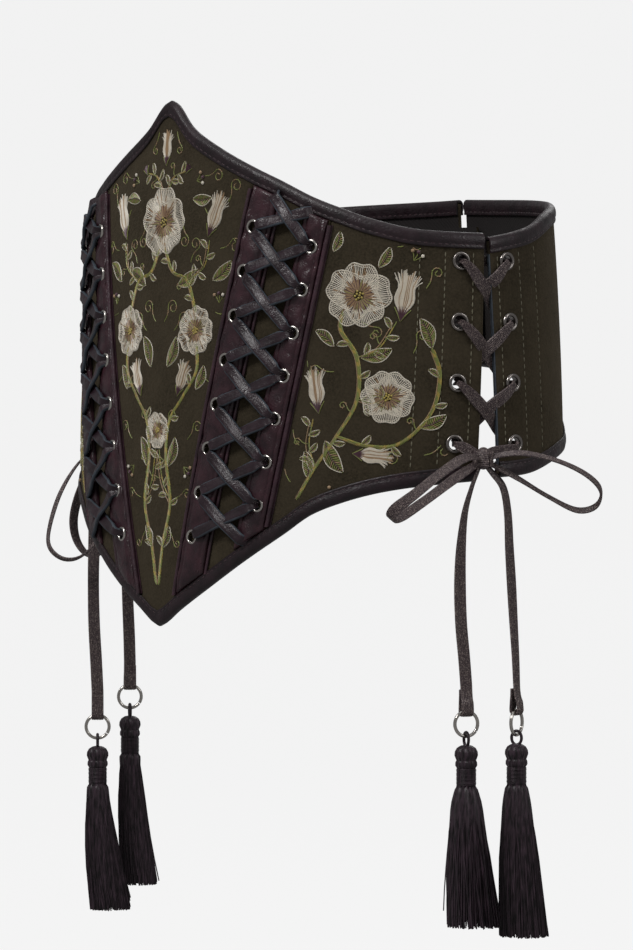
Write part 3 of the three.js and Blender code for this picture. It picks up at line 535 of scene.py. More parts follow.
def ball(gather, centre, axes, slot, rows, columns):
    """A rounded lump: axes are its three half sizes as vectors."""
    centre, axes = np.asarray(centre, float), np.asarray(axes, float)
    turn = np.linspace(0, math.pi, rows + 1)[1:-1]
    around_it = circle_of(columns)
    grid = (np.cos(around_it)[None, :, None] * np.sin(turn)[:, None, None] * axes[0]
            + np.sin(around_it)[None, :, None] * np.sin(turn)[:, None, None] * axes[1]
            + np.cos(turn)[:, None, None] * axes[2]) + centre
    points = np.concatenate([grid.reshape(-1, 3), [centre + axes[2], centre - axes[2]]])
    faces = [(r * columns + c, (r + 1) * columns + c, (r + 1) * columns + (c + 1) % columns,
              r * columns + (c + 1) % columns) for r in range(rows - 2) for c in range(columns)]
    top, bottom = len(points) - 2, len(points) - 1
    last = (rows - 2) * columns
    faces += [(top, c, (c + 1) % columns) for c in range(columns)]
    faces += [(bottom, last + (c + 1) % columns, last + c) for c in range(columns)]
    gather.add(points, faces, slot)


def stitch(gather, a, b, out, radius, slot):
    """One short stitch lying between two points."""
    a, b, out = (np.asarray(v, float) for v in (a, b, out))
    along = (b - a) / 2
    side = unit(np.cross(along, out)) * radius
    ball(gather, (a + b) / 2, (side, unit(out) * radius * 0.8, along), slot, 4, 5)


def stitch_row(gather, line, outs, length, gap, radius, slot):
    """A row of stitches along a line."""
    run = run_along(line)
    count = max(1, int(run[-1] / (length + gap)))
    step = run[-1] / count
    share = length / (length + gap)
    for k in range(count):
        start = step * (k + (1 - share) / 2)
        stitch(gather, at_run(line, run, start), at_run(line, run, start + step * share), at_run(outs, run, start),
               radius, slot)


def grid_faces(columns, rows, keep=None, flip=False):
    """Faces of a grid whose points run by rows within columns."""
    faces = []
    for i in range(columns - 1):
        for j in range(rows - 1):
            if keep is None or keep[i, j]:
                a = i * rows + j
                face = (a, a + rows, a + rows + 1, a + 1)
                faces.append(face[::-1] if flip else face)
    return faces


# Materials

def linear(code):
    """A hex sRGB colour in linear light."""
    parts = [int(code[k:k + 2], 16) / 255 for k in (0, 2, 4)]
    return tuple(c / 12.92 if c <= 0.04045 else ((c + 0.055) / 1.055) ** 2.4 for c in parts) + (1,)


def add(tree, kind, links=None, **values):
    """A node with constants set on its sockets or properties, and links made to its inputs."""
    node = tree.nodes.new(kind)
    for key, value in values.items():
        if key in node.bl_rna.properties:
            setattr(node, key, value)
    for key, value in values.items():
        if key not in node.bl_rna.properties:
            node.inputs[key.replace("_", " ")].default_value = value
    for key, socket in (links or {}).items():
        tree.links.new(socket, node.inputs[key])
    return node


def surface(name, colour, roughness, ior=1.5, metal=0.0):
    """A principled material and its parts: (material, tree, shader, coordinates in metres)."""
    material = bpy.data.materials.new(name)
    material.use_nodes = True
    tree = material.node_tree
    shader = tree.nodes["Principled BSDF"]
    shader.inputs["Base Color"].default_value = linear(colour)
    shader.inputs["Roughness"].default_value = roughness
    shader.inputs["IOR"].default_value = ior
    shader.inputs["Metallic"].default_value = metal
    where = add(tree, "ShaderNodeTexCoord").outputs["Object"]
    return material, tree, shader, where


def noise(tree, where, size_mm, detail=3.0, rough=0.55):
    return add(tree, "ShaderNodeTexNoise", {"Vector": where}, Scale=1000 / size_mm, Detail=detail,
               Roughness=rough).outputs["Fac"]


def mapped(tree, value, low, high, to_low=0.0, to_high=1.0):
    return add(tree, "ShaderNodeMapRange", {"Value": value}, From_Min=low, From_Max=high,
               To_Min=to_low, To_Max=to_high).outputs["Result"]


def mixed(tree, factor, a, b):
    """A mix of two colours; each is a hex code or a socket."""
    node = add(tree, "ShaderNodeMix", {"Factor": factor}, data_type="RGBA")
    for socket, value in ((node.inputs[6], a), (node.inputs[7], b)):
        if isinstance(value, str):
            socket.default_value = linear(value)
        else:
            tree.links.new(value, socket)
    return node.outputs[2]


def bumped(tree, shader, height, depth_mm, after=None):
    node = add(tree, "ShaderNodeBump", {"Height": height}, Strength=1.0, Distance=depth_mm * MM)
    if after is not None:
        tree.links.new(after, node.inputs["Normal"])
    tree.links.new(node.outputs["Normal"], shader.inputs["Normal"])
    return node.outputs["Normal"]


def suede():
    """Dyed suede: blotchy pile that scatters light at grazing angles, with no shine."""
    material, tree, shader, where = surface("suede", "332d22", 0.95, 1.46)
    blotch = mapped(tree, noise(tree, where, 22, 5, 0.6), 0.35, 0.65)
    nap = noise(tree, where, 1.1, 4, 0.7)
    base = mixed(tree, blotch, "2b261c", "3f382c")
    tree.links.new(mixed(tree, mapped(tree, nap, 0.35, 0.7), base, "453d30"), shader.inputs["Base Color"])
    shader.inputs["Sheen Weight"].default_value = 0.22
    shader.inputs["Sheen Roughness"].default_value = 0.55
    shader.inputs["Sheen Tint"].default_value = linear("a2937b")
    shader.inputs["Specular IOR Level"].default_value = 0.15
    fine = bumped(tree, shader, nap, 0.28)
    bumped(tree, shader, noise(tree, where, 9, 3), 0.8, fine)
    return material


def lining():
    """Dark cotton twill with a fine diagonal rib, seen inside."""
    material, tree, shader, where = surface("lining", "1b1716", 0.9)
    turned = add(tree, "ShaderNodeMapping", {"Vector": where}, Rotation=(0, 0.8, 0.6))
    wave = add(tree, "ShaderNodeTexWave", {"Vector": turned.outputs["Vector"]}, Scale=260, Distortion=0.6)
    bumped(tree, shader, wave.outputs["Fac"], 0.12)
    tree.links.new(mixed(tree, noise(tree, where, 14), "161211", "262020"), shader.inputs["Base Color"])
    return material


def leather(name, colour, light, roughness=0.38, grain=0.7, depth=0.09, crease=0.25):
    """Aniline-dyed cow leather: pebbled grain, soft wide highlights and a mottled dye."""
    material, tree, shader, where = surface(name, colour, roughness, 1.5)
    cells = add(tree, "ShaderNodeTexVoronoi", {"Vector": where}, feature="SMOOTH_F1", Scale=1000 / grain,
                Smoothness=0.6).outputs["Distance"]
    dye = mapped(tree, noise(tree, where, 9, 5, 0.65), 0.35, 0.68)
    tree.links.new(mixed(tree, dye, colour, light), shader.inputs["Base Color"])
    tree.links.new(mapped(tree, noise(tree, where, 3, 4), 0.3, 0.7, roughness - 0.08, roughness + 0.14),
                   shader.inputs["Roughness"])
    fine = bumped(tree, shader, cells, depth)
    bumped(tree, shader, noise(tree, where, 4.5, 4, 0.6), crease, fine)
    return material


def thread(name, colour, roughness=0.5):
    """Twisted silk or cotton thread, a little lighter along its crown."""
    material, tree, shader, where = surface(name, colour, roughness, 1.53)
    shade = add(tree, "ShaderNodeMix", {"Factor": noise(tree, where, 1.3, 2)}, data_type="RGBA", blend_type="MULTIPLY")
    shade.inputs[6].default_value = linear(colour)
    shade.inputs[7].default_value = (0.72, 0.72, 0.72, 1)
    tree.links.new(shade.outputs[2], shader.inputs["Base Color"])
    shader.inputs["Sheen Weight"].default_value = 0.3
    bumped(tree, shader, noise(tree, where, 0.35, 2), 0.05)
    return material


def waxed():
    """Flat woven waxed cord: a dull brown-black with pale specks painted in as glints on its wax, which is also
    glossier there.
    """
    material, tree, shader, where = surface("waxed_cord", "342b29", 0.5, 1.46)
    glint_speck = noise(tree, where, 0.55, 3, 0.8)
    # Painted glints: pale specks in the base colour. The roughness drops there too, as real gloss
    tree.links.new(mixed(tree, mapped(tree, glint_speck, 0.5, 0.68), "43373a", "b5a59e"), shader.inputs["Base Color"])
    tree.links.new(mapped(tree, glint_speck, 0.4, 0.68, 0.55, 0.3), shader.inputs["Roughness"])
    bumped(tree, shader, glint_speck, 0.16)
    return material


def metal(name, colour, roughness):
    """Plated brass with a faintly uneven polish."""
    material, tree, shader, where = surface(name, colour, roughness, 1.5, 1.0)
    tree.links.new(mapped(tree, noise(tree, where, 1.6, 3), 0.3, 0.7, roughness * 0.7, roughness * 1.5),
                   shader.inputs["Roughness"])
    return material


def yarn():
    """Viscose tassel yarn: dark aubergine, with lighter streaks painted along each strand as its lustre, and a little
    shine and sheen from the shader.
    """
    material, tree, shader, where = surface("yarn", "2b2229", 0.42, 1.5)
    stretched = add(tree, "ShaderNodeMapping", {"Vector": where}, Scale=(1, 1, 0.12))
    strand = noise(tree, stretched.outputs["Vector"], 0.9, 3)
    # Painted lustre: the base colour runs from near black to lighter streaks along each strand
    tree.links.new(mixed(tree, mapped(tree, strand, 0.35, 0.7), "0e0a0c", "45353f"), shader.inputs["Base Color"])
    shader.inputs["Specular IOR Level"].default_value = 0.3
    shader.inputs["Sheen Weight"].default_value = 0.1
    return material


MATERIALS = {}


def make_materials():
    """Every material once, by name."""
    if MATERIALS:
        return MATERIALS
    MATERIALS.update({
        "suede": suede(),
        "lining": lining(),
        "leather": leather("aubergine_leather", "241219", "44272f", 0.32, 0.7, 0.11, 0.4),
        "binding": leather("binding_leather", "150a0f", "2b1920", 0.4, 0.8, 0.1, 0.28),
        "piping": leather("piping_leather", "2c1a21", "4a303a", 0.38),
        "lace_leather": leather("lace_leather", "1f1218", "36252d", 0.36, 0.6, 0.1, 0.35),
        "cut_edge": leather("cut_edge", "30353e", "475059", 0.6, 0.4, 0.05),
        "waxed": waxed(),
        "eyelet": metal("blackened_eyelet", "8f8985", 0.24),
        "nickel": metal("nickel", "c9c4be", 0.2),
        "yarn": yarn(),
        "grey_thread": thread("grey_green_thread", "7d7760"),
        "plum_thread": thread("plum_thread", "43272f"),
        "cream": thread("cream_silk", "f0e7d6", 0.42),
        "tan": thread("tan_silk", "b79772", 0.42),
        "green": thread("green_silk", "949b50", 0.42),
        "gold": thread("gold_silk", "c2ac55", 0.4),
        "plum": thread("plum_silk", "5a3442", 0.42),
    })
    return MATERIALS


# Flat pieces: panels, strips, placket

def settle(start, end, height, u):
    """Pattern places at shares u between two seams, where height gives z at a distance round."""
    s = np.zeros_like(u)
    for _ in range(SETTLING_PASSES):
        z = height(s)
        s = blend(start(z), end(z), u)
    return s, z


def slab(gather, start, end, bottom, top, low, high, columns, rows, relief=None, holes=(), hole=0.0,
         inner_slot=0, rounded=0.35):
    """A closed wall between two seams and two edge lines, with rounded edges, relief and holes."""
    rim = np.array([0, 0.004, 0.012, 0.025])
    u_line = np.concatenate([rim, np.linspace(0.025, 0.975, columns)[1:-1], 1 - rim[::-1]])
    v_line = np.concatenate([rim / 2, np.linspace(0.0125, 0.9875, rows)[1:-1], 1 - rim[::-1] / 2])
    u, v = np.meshgrid(u_line, v_line, indexing="ij")
    s, z = settle(start, end, lambda s: blend(bottom(s), top(s), v), u)
    keep = np.ones((len(u_line) - 1, len(v_line) - 1), bool)
    for hole_s, hole_z in holes:
        away = np.hypot(s - hole_s, z - hole_z)
        inside = away < hole
        push = hole / np.maximum(away, 0.05)
        s = np.where(inside, hole_s + (s - hole_s) * push, s)
        z = np.where(inside, hole_z + (z - hole_z) * push, z)
        keep &= ~(inside[:-1, :-1] & inside[1:, :-1] & inside[:-1, 1:] & inside[1:, 1:])
    width = np.abs(end(z) - start(z))
    near = np.minimum(np.minimum(u, 1 - u) * width, np.minimum(v, 1 - v) * np.abs(top(s) - bottom(s)))
    drop = rounded * (1 - np.sqrt(np.clip(1 - (1 - np.clip(near / 0.9, 0, 1)) ** 2, 0, 1)))
    off = high - drop
    if relief is not None:
        off = off + relief(s, z, u * width, (1 - u) * width)
    columns, rows = u.shape
    outer, inner = place(s, z, off), place(s, z, low)
    gather.add(outer, grid_faces(columns, rows, keep))
    gather.add(inner, grid_faces(columns, rows, keep, flip=True), inner_slot)
    index = np.arange(columns * rows).reshape(columns, rows)
    border = np.concatenate([index[:, 0], index[-1, 1:], index[-2::-1, -1], index[0, -2:0:-1]])
    n = len(border)
    faces = [(k, n + k, n + (k + 1) % n, (k + 1) % n) for k in range(n)]
    gather.add(np.concatenate([wall.reshape(-1, 3)[border] for wall in (outer, inner)]), faces)


def seam_dips(lines):
    """Relief pressed in along stitch lines, given as functions of height."""
    def relief(s, z, *_):
        total = 0 * s
        for line in lines:
            total = total - SEAM_DEPTH * bell(s, line(z), SEAM_REACH)
        return total
    return relief


def shifted(line, by):
    """The same seam or edge line, moved."""
    return lambda at: line(at) + by


def level(value):
    """A straight line at one value."""
    return lambda at: value + 0 * at


SUEDE_LAYERS = ("suede", "lining", "cut_edge", "grey_thread")
# Stitch lines on the suede, as distances round the waist
SIDE_STITCHES = (131.6, 142.7, 155.4)
BACK_STITCHES = (170.1, 182.7, 194.3)


def stitch_line(base):
    """A stitch line that follows the gap's lean near the gap."""
    return lambda z: base + (GAP_LEAN if base < FRONT_REACH else BACK_EDGE_LEAN) * z


def straight_rows(gather, line, bottom, top, off, length, gap=SUEDE_STITCH_GAP, radius=SUEDE_STITCH_RADIUS,
                  inset=8.5, slot=3):
    """Stitches up a seam line, between the bindings."""
    low, high = seam_meets(line, bottom) + inset, seam_meets(line, top) - inset
    z = np.linspace(low, high, 160)
    s = line(z)
    stitch_row(gather, place(s, z, off), directions(s)[0], length, gap, radius, slot)


def make_panels(side, settings):
    """The suede panels of one side, with their lining and stitch lines."""
    length = settings.stitch_length / MM
    front_edges = shifted(front_bottom, EDGE_INSET), shifted(front_top, -EDGE_INSET)
    back_edges = shifted(back_bottom, EDGE_INSET), shifted(back_top, -EDGE_INSET)

    gusset = Gather()
    slab(gusset, shifted(centre_seam, HALF_SEAM), shifted(side_seam, -HALF_SEAM), *front_edges, 0, SHELL, 26, 90,
         inner_slot=1)

    front = Gather()
    lines = [stitch_line(base) for base in SIDE_STITCHES]
    slab(front, shifted(side_seam, HALF_SEAM), gap_front, *front_edges, 0, SHELL, 60, 84, seam_dips(lines),
         FRONT_SIDE_SPOTS, PANEL_HOLE, inner_slot=1)
    for line in lines:
        straight_rows(front, line, front_bottom, front_top, SHELL - 0.2, length)
    # The suede and the lining each show a rounded raw edge in the gap
    z = np.linspace(SIDE_BOTTOM + GAP_EDGE_INSET, SIDE_TOP - GAP_EDGE_INSET, 60)
    out, back = directions(gap_front(z))
    for slot, off in ((0, 1.8), (1, 0.4)):
        front.add(*sweep(place(gap_front(z) + 0.15, z, off), out, back, round_section(0.42, 0.35, 6)), slot)

    rear = Gather()
    lines = [stitch_line(base) for base in BACK_STITCHES] + [level(HALF_ROUND - inset) for inset in (12, 24)]
    slab(rear, gap_back, centre_back, *back_edges, 0, SHELL, 120, 64, seam_dips(lines), BACK_SIDE_SPOTS, PANEL_HOLE,
         inner_slot=1)
    for line in lines:
        straight_rows(rear, line, back_bottom, back_top, SHELL - 0.2, length)
    z = np.linspace(SIDE_BOTTOM + GAP_EDGE_INSET, BACK_SIDE_TOP - GAP_EDGE_INSET, 60)
    out, back = directions(gap_back(z))
    for off in (1.65, 0.55):
        rear.add(*sweep(place(gap_back(z) - 0.1, z, off), out, back, soft_section(0.85, -0.3, 0.3, 3, 10)), 2)

    for name, g in (("lacing_gusset", gusset), ("side_panel", front), ("back_panel", rear)):
        g.sided(side, f"{name}_suede", SUEDE_LAYERS, "suede", name)


def make_centre():
    """The centre front panel and the plain strip inside the centre back."""
    g = Gather()
    slab(g, lambda z: HALF_SEAM - centre_seam(z), shifted(centre_seam, -HALF_SEAM), shifted(front_bottom, EDGE_INSET),
         shifted(front_top, -EDGE_INSET), 0, SHELL, 68, 114, inner_slot=1)
    g.piece("centre_front_suede", SUEDE_LAYERS, ["centre_front_panel"])

    g = Gather()
    half = PLACKET_WIDTH / 2
    low, high = float(back_bottom(HALF_ROUND)) + 1, float(back_top(HALF_ROUND)) - PLACKET_SHORT
    slab(g, level(HALF_ROUND - half), level(HALF_ROUND + half), level(low), level(high), *PLACKET_OFF, 24, 60,
         inner_slot=1)
    z = np.linspace(low + 2, high - 2, 80)
    for across in (-half + 2, half - 2):
        s = HALF_ROUND + across + 0 * z
        stitch_row(g, place(s, z, PLACKET_OFF[1]), directions(s)[0], *PLACKET_STITCH, 3)
    g.piece("back_placket_suede", SUEDE_LAYERS, ["back_placket"])


# Leather strips, pipings, bindings

def strip_relief(spots, lumps, puff_height):
    """Relief of a strip: puffed between its seams, pressed in at its eyelets, and creased at the lumps."""
    def relief(s, z, left, right):
        off = puff_height * np.sin(np.pi * np.clip(left / (left + right), 0, 1)) ** 0.7 - 0.45
        for seam in (left, right):
            off = off - 0.5 * bell(seam, STRIP_SEAM_INSET, 0.5)
        for spot_s, spot_z in spots:
            away = np.hypot(s - spot_s, z - spot_z)
            turn = np.arctan2(z - spot_z, s - spot_s)
            off = off - 0.45 * np.exp(-(away / 3.6) ** 4)
            off = off + 0.28 * np.cos(turn * 3 + spot_z) * bell(away, 6.5, 3.0)
        for lump_z, side_way in lumps:
            off = off + 0.42 * side_way * bell(z - lump_z + side_way * (left - 7), 0, 2.3)
        return off
    return relief


def make_strips(side, settings):
    """The puffed leather strips that carry the front lacing, with their eyelets."""
    rows = (
        ("inner", shifted(centre_seam, 1.25), window_start, INNER_SPOTS, 5),
        ("outer", window_end, shifted(side_seam, -1.25), OUTER_SPOTS, 6),
    )
    for name, start, end, spots, number in rows:
        g = Gather()
        seed = random.Random(number)
        lumps = [(seed.uniform(-110, 90), seed.uniform(-1, 1)) for _ in range(STRIP_CREASES)]
        slab(g, start, end, shifted(front_bottom, STRIP_INSET), shifted(front_top, -STRIP_INSET), STRIP_LOW,
             STRIP_TOP, 26, 172, strip_relief(spots, lumps, settings.strip_puff), spots, STRIP_HOLE, rounded=1.1)
        for line in (shifted(start, STRIP_SEAM_INSET), shifted(end, -STRIP_SEAM_INSET)):
            straight_rows(g, line, front_bottom, front_top, STRIP_TOP - 0.55, *STRIP_STITCH, STRIP_STITCH_INSET, 1)
        for s, z in spots:
            add_eyelet(g, s, z, STRIP_TOP - 0.35, *STRIP_EYELET, 2)
        g.sided(side, f"{name}_strip_leather", ("leather", "plum_thread", "nickel"), "leather", f"{name}_strip")


def add_eyelet(gather, s, z, off, bore, flange, proud, deep, slot=0):
    """A rolled metal eyelet standing on the form."""
    middle = (bore + flange) / 2
    half = (flange - bore) / 2
    arc = np.linspace(0, math.pi, 7)
    profile = [(bore + 0.15, -deep), (bore, -deep + 0.2), (bore, 0)]
    profile += [(middle - half * math.cos(a), proud * math.sin(a)) for a in arc]
    profile += [(flange - 0.2, -0.25), (bore + 0.3, -0.3), (bore + 0.3, -deep)]
    r, h = np.array(profile).T
    turn = circle_of(30)
    out, back = (v.reshape(3) for v in directions(np.array([s])))
    centre = place(s, z, off).reshape(3)
    ring = np.cos(turn)[:, None] * back + np.sin(turn)[:, None] * UPWARD
    grid = centre + ring[:, None] * r[None, :, None] + out * h[None, :, None]
    gather.add(grid.reshape(-1, 3), ring_faces(len(turn), len(r), closed=True), slot)


def make_pipings(side):
    """Leather pipings at the seams, and the fine one beside the lacing window."""
    def heights(seam, inset, count):
        return np.linspace(seam_meets(seam, front_bottom) + inset, seam_meets(seam, front_top) - inset, count)

    for name, seam in (("centre", centre_seam), ("side", side_seam)):
        g = Gather()
        z = heights(seam, PIPING_INSET, 120)
        s = seam(z)
        out, back = directions(s)
        wobble = 0.05 * np.sin(z * 1.7)[:, None]
        line = place(s, z, SHELL + PIPING_LIFT + PIPING_RADIUS) + out * wobble
        g.add(*sweep(line, back, out, round_section(PIPING_RADIUS, PIPING_RADIUS, 12)))
        g.add(*sweep(place(s, z, SHELL + PIPING_LIFT), back, out, soft_section(2.9, -0.15, 0.25, 4, 12)))
        if name == "centre":
            z = heights(window_start, FINE_PIPING_INSET, 110)
            s = window_start(z) + 1.3
            out, back = directions(s)
            g.add(*sweep(place(s, z, SHELL + 0.7), back, out, round_section(0.75, 0.7, 10)))
        g.sided(side, f"{name}_piping_leather", ("piping",), "piping", f"{name}_piping")


# A binding's section as rows of (depth from the edge, offset): the outer leg, the fold, the inner leg, the inside
BINDING_SECTION = np.array([
    (7.0, 2.55), (7.05, 2.75), (6.8, 3.05), (6.3, 3.12), (5.8, 3.02), (5.3, 3.02), (4.6, 3.3), (3.6, 3.42),
    (2.4, 3.4), (1.3, 3.15), (0.5, 2.55), (0.08, 1.7), (0.0, 0.95), (0.15, 0.1), (0.65, -0.7), (1.5, -1.2),
    (2.8, -1.3), (4.4, -1.3), (5.4, -1.15), (5.9, -1.12), (6.6, -1.28), (7.0, -1.15), (7.05, -0.7), (6.8, -0.32),
    (1.2, -0.3), (1.1, 2.45),
])


def make_bindings(side):
    """The folded leather bindings of the upper and lower edges, puckered along their stitches."""
    front, rear = (level(0), gap_front), (gap_back, centre_back)
    rows = (
        ("front_top", front, front_top, -1, 204),
        ("front_bottom", front, front_bottom, 1, 204),
        ("back_top", rear, back_top, -1, 190),
        ("back_bottom", rear, back_bottom, 1, 190),
    )
    depth, off = BINDING_SECTION.T[:, None]
    for name, (start, end), edge, down, steps in rows:
        def inward(by):
            return lambda s: edge(s) + down * by

        g = Gather()
        u = np.linspace(0, 1, steps)[:, None] * np.ones((1, len(BINDING_SECTION)))
        s, z = settle(start, end, inward(depth), u)
        run = u * float(abs(end(0.0) - start(0.0)))
        pucker = np.sin(run / 2.4 * 2 * math.pi) * bell(depth, 5.5, 1.0) * 0.1
        swell = 0.1 * np.sin(run * 0.37 + 1.3 * np.sin(run * 0.11)) * bell(depth, 3.2, 2.2)
        outward = np.where(off > 1, 1, -1)
        g.add(place(s, z, off + outward * (pucker + swell)), ring_faces(steps, len(BINDING_SECTION)))
        for stitch_off, stitch_depth, way in ((2.98, 5.55, 1), (-1.1, 5.65, -1)):
            s, z = settle(start, end, inward(stitch_depth), np.linspace(0.004, 0.996, 500))
            stitch_row(g, place(s, z, stitch_off), directions(s)[0] * way, *BINDING_STITCH, 1)
        g.sided(side, f"{name}_binding_leather", ("binding", "plum_thread"), "leather", f"{name}_binding")


# Laces

FLAT_SECTION = np.array([(-1, 0.3), (-0.8, 0.95), (-0.3, 0.82), (0.3, 0.82), (0.8, 0.95), (1, 0.3),
                         (1, -0.4), (0.9, -1), (-0.9, -1), (-1, -0.4)])


def woven_section(ribs=7, groove=0.45):
    """Section of a flat woven cord with lengthwise ribs, as shares of half its width and thickness."""
    count = ribs * 2
    across = np.linspace(-0.97, 0.97, count + 1)
    out = 1 - groove * (0.5 + 0.5 * np.cos(2 * math.pi * ribs * (across + 1) / 2))
    out *= 1 - 0.35 * np.abs(across) ** 6
    upper = np.stack([across, out], -1)
    return np.concatenate([upper, [(1, 0.2), (1, -0.2)], upper[::-1] * (1, -1), [(-1, -0.2), (-1, 0.2)]])


WOVEN_SECTION = woven_section()


def band(gather, points, wides, outs, half_wide, half_thick, section, slot=0, edge_slot=None):
    """A flat lace along points; half sizes may change along the way, and cut edges may take their own material."""
    half_wide = np.broadcast_to(half_wide, (len(points),))
    half_thick = np.broadcast_to(half_thick, (len(points),))
    profile = section[None] * np.stack([half_wide, half_thick], -1)[:, None]
    vertices, faces = sweep(points, wides, outs, profile)
    first = len(gather.slots)
    gather.add(vertices, faces, slot)
    if edge_slot is not None:
        columns = len(section)
        for row in range(len(points) - 1):
            for c in range(columns):
                if min(abs(section[c][0]), abs(section[(c + 1) % columns][0])) >= 0.8 and section[c][1] > -0.9:
                    gather.slots[first + row * columns + c] = edge_slot


def woven(gather, line, wides, ahead=None, share=1.0):
    """A stretch of woven lace; share is how much of its width it keeps."""
    ahead = heading(line) if ahead is None else ahead
    band(gather, line, wides, unit(np.cross(wides, ahead)), WOVEN_LACE[0] / 2 * share, WOVEN_LACE[1] / 2,
         WOVEN_SECTION)


def smoothstep(x):
    x = np.clip(x, 0, 1)
    return x * x * (3 - 2 * x)


def front_leg(gather, start, end, over, tucked, phase):
    """One leg of the leather lacing, from eyelet to eyelet: narrow in the eyelets and flat between.

    tucked says for each end whether it goes under the edge of the belt; phase varies the lean.
    """
    (s0, z0), (s1, z1) = start, end
    length = math.hypot(s1 - s0, z1 - z0)
    d = np.linspace(0.3, length - 0.3, 56)
    share = d / length
    s, z = blend(s0, s1, share), blend(z0, z1, share)
    off = np.full_like(d, STRIP_TOP + 1.45)
    wide = np.full_like(d, LEATHER_LACE[0] / 2)
    for near, is_tucked in ((d, tucked[0]), (length - d, tucked[1])):
        if is_tucked:
            off -= 4.1 * (1 - smoothstep((near - 0.6) / 3.2))
        else:
            off -= 3.6 * (1 - smoothstep((near - 0.7) / 2.6))
            wide *= 0.5 + 0.5 * smoothstep((near - 0.5) / 5.5)
            off += 0.35 * bell(near, 4.4, 1.6)
    off += (0.72 if over else -0.62) * bell((share - 0.5) * length, 0, 5.2)
    line = place(s, z, off)
    ahead, wides, outs = frames_along(line, directions(s)[0])
    lean = (0.42 if over else -0.5) * np.sin(math.pi * share) ** 2 + 0.08 * math.sin(phase)
    tilt = np.cos(lean)[:, None] * wides + np.sin(lean)[:, None] * outs
    band(gather, line, tilt, unit(np.cross(tilt, ahead)), wide, LEATHER_LACE[1] / 2 * (1.25 - 0.25 * wide / 2.6),
         FLAT_SECTION, 0, 1)


def make_front_lace(side):
    """Two strands of the leather lacing, crossing over the window."""
    g = Gather()

    def under(edge, s, way):
        return (s, float(edge(s)) + way * 5.6)

    first = [under(front_top, window_end(SIDE_TOP) + OUTER_STRIP / 2, -1)]
    second = [under(front_top, window_start(SIDE_TOP) + 1.5, -1)]
    for k in range(INNER_EYELETS):
        turns = [INNER_SPOTS[k:k + 1], OUTER_SPOTS[k:k + 1]]
        first += turns[k % 2]
        second += turns[1 - k % 2]
    first.append(under(front_bottom, window_end(SIDE_BOTTOM), 1))
    for strand in (first, second):
        for k in range(len(strand) - 1):
            over = strand[k + 1][0] > strand[k][0]
            tucked = (k == 0, strand is first and k == len(strand) - 2)
            front_leg(g, strand[k], strand[k + 1], over, tucked, 0.4 * k)
    g.sided(side, "front_lace_leather", ("lace_leather", "cut_edge"), "leather_lace", "front_lace")


def side_leg(gather, start, end, near_edge, far_edge, over):
    """One leg of the woven side lacing: up through its eyelet, over its own edge, under the other one."""
    (s0, z0), (s1, z1) = start, end
    way = math.copysign(1, s1 - s0)
    rows = [(s0, z0, -1.2, 0.5), (s0, z0, 1.0, 0.45), (s0 + way * 0.6, z0 - 0.4, 3.9, 0.5),
            (s0 + way * 3.6, z0 - 3.4, 4.35, 0.8)]

    def at(s, off):
        share = (s - s0) / (s1 - s0)
        rows.append((s, blend(z0, z1, share), off, 1.0))

    at(near_edge - way * 1.5, 3.4)
    at((near_edge + far_edge) / 2, 1.75 if over else 0.15)
    at(far_edge + way * 1.5, -1.2)
    at(s1 - way * 4, -1.5)
    rows.append((s1 - way * 0.5, z1 + 0.3, -1.5, 0.55))
    line = smooth_line(rows, 72)
    s, z, off, share = line.T
    points = place(s, z, off)
    out, back = directions(s)
    chord = unit(back * (s1 - s0) + UPWARD * (z1 - z0))
    ahead = heading(points)
    woven(gather, points, squared(unit(np.cross(out, chord)), ahead), ahead, share)


def make_side_lace(side):
    """The woven lacing over the side gap, with its run behind the first two eyelets."""
    g = Gather()
    for k in range(SIDE_EYELETS - 1):
        for on_front in (True, False):
            start = (FRONT_SIDE_SPOTS if on_front else BACK_SIDE_SPOTS)[k]
            end = (BACK_SIDE_SPOTS if on_front else FRONT_SIDE_SPOTS)[k + 1]
            middle = (start[1] + end[1]) / 2
            edges = (gap_front(middle), gap_back(middle))
            near, far = edges if on_front else edges[::-1]
            side_leg(g, start, end, near, far, over=on_front == (k % 2 == 0))
    (s0, z0), (s1, _) = FRONT_SIDE_SPOTS[0], BACK_SIDE_SPOTS[0]
    s = np.linspace(s0 + 0.5, s1 - 0.5, 30)
    out = directions(s)[0]
    band(g, place(s, z0, -1.9), np.broadcast_to(UPWARD, out.shape), out, 2.4, WOVEN_LACE[1] / 2, WOVEN_SECTION)
    g.sided(side, "side_lace_woven", ("waxed",), "woven_lace", "side_lace")


def make_side_eyelets(side):
    """The blackened eyelets of the side lacing."""
    g = Gather()
    for s, z in FRONT_SIDE_SPOTS + BACK_SIDE_SPOTS:
        add_eyelet(g, s, z, SHELL + 0.1, *SIDE_EYELET)
        add_eyelet(g, s, z, -0.1, *SIDE_WASHER)
    nodes = [f"{part}_side_eyelet_{k}" for part in ("front", "back") for k in range(1, SIDE_EYELETS + 1)]
    g.sided(side, "side_eyelets_metal", ("eyelet",), "metal", *nodes)


# Bows, tails, rings and tassels

KNOT_HEIGHT = SIDE_BOTTOM + KNOT_RISE
KNOT_S = float(gap_front(KNOT_HEIGHT))
KNOT_OUTWARD, KNOT_BACKWARD = (v.reshape(3) for v in directions(np.array([KNOT_S])))
KNOT_MIDDLE = place(KNOT_S, KNOT_HEIGHT, KNOT_OUT).reshape(3)


def from_knot(out, back, up=0.0):
    return KNOT_MIDDLE + KNOT_OUTWARD * out + KNOT_BACKWARD * back + UPWARD * up


def turned(angle):
    """Outward and backward directions at the knot, turned round the upright by some radians."""
    angle = np.asarray(angle, float)[..., None]
    return (KNOT_OUTWARD * np.cos(angle) + KNOT_BACKWARD * np.sin(angle),
            KNOT_BACKWARD * np.cos(angle) - KNOT_OUTWARD * np.sin(angle))


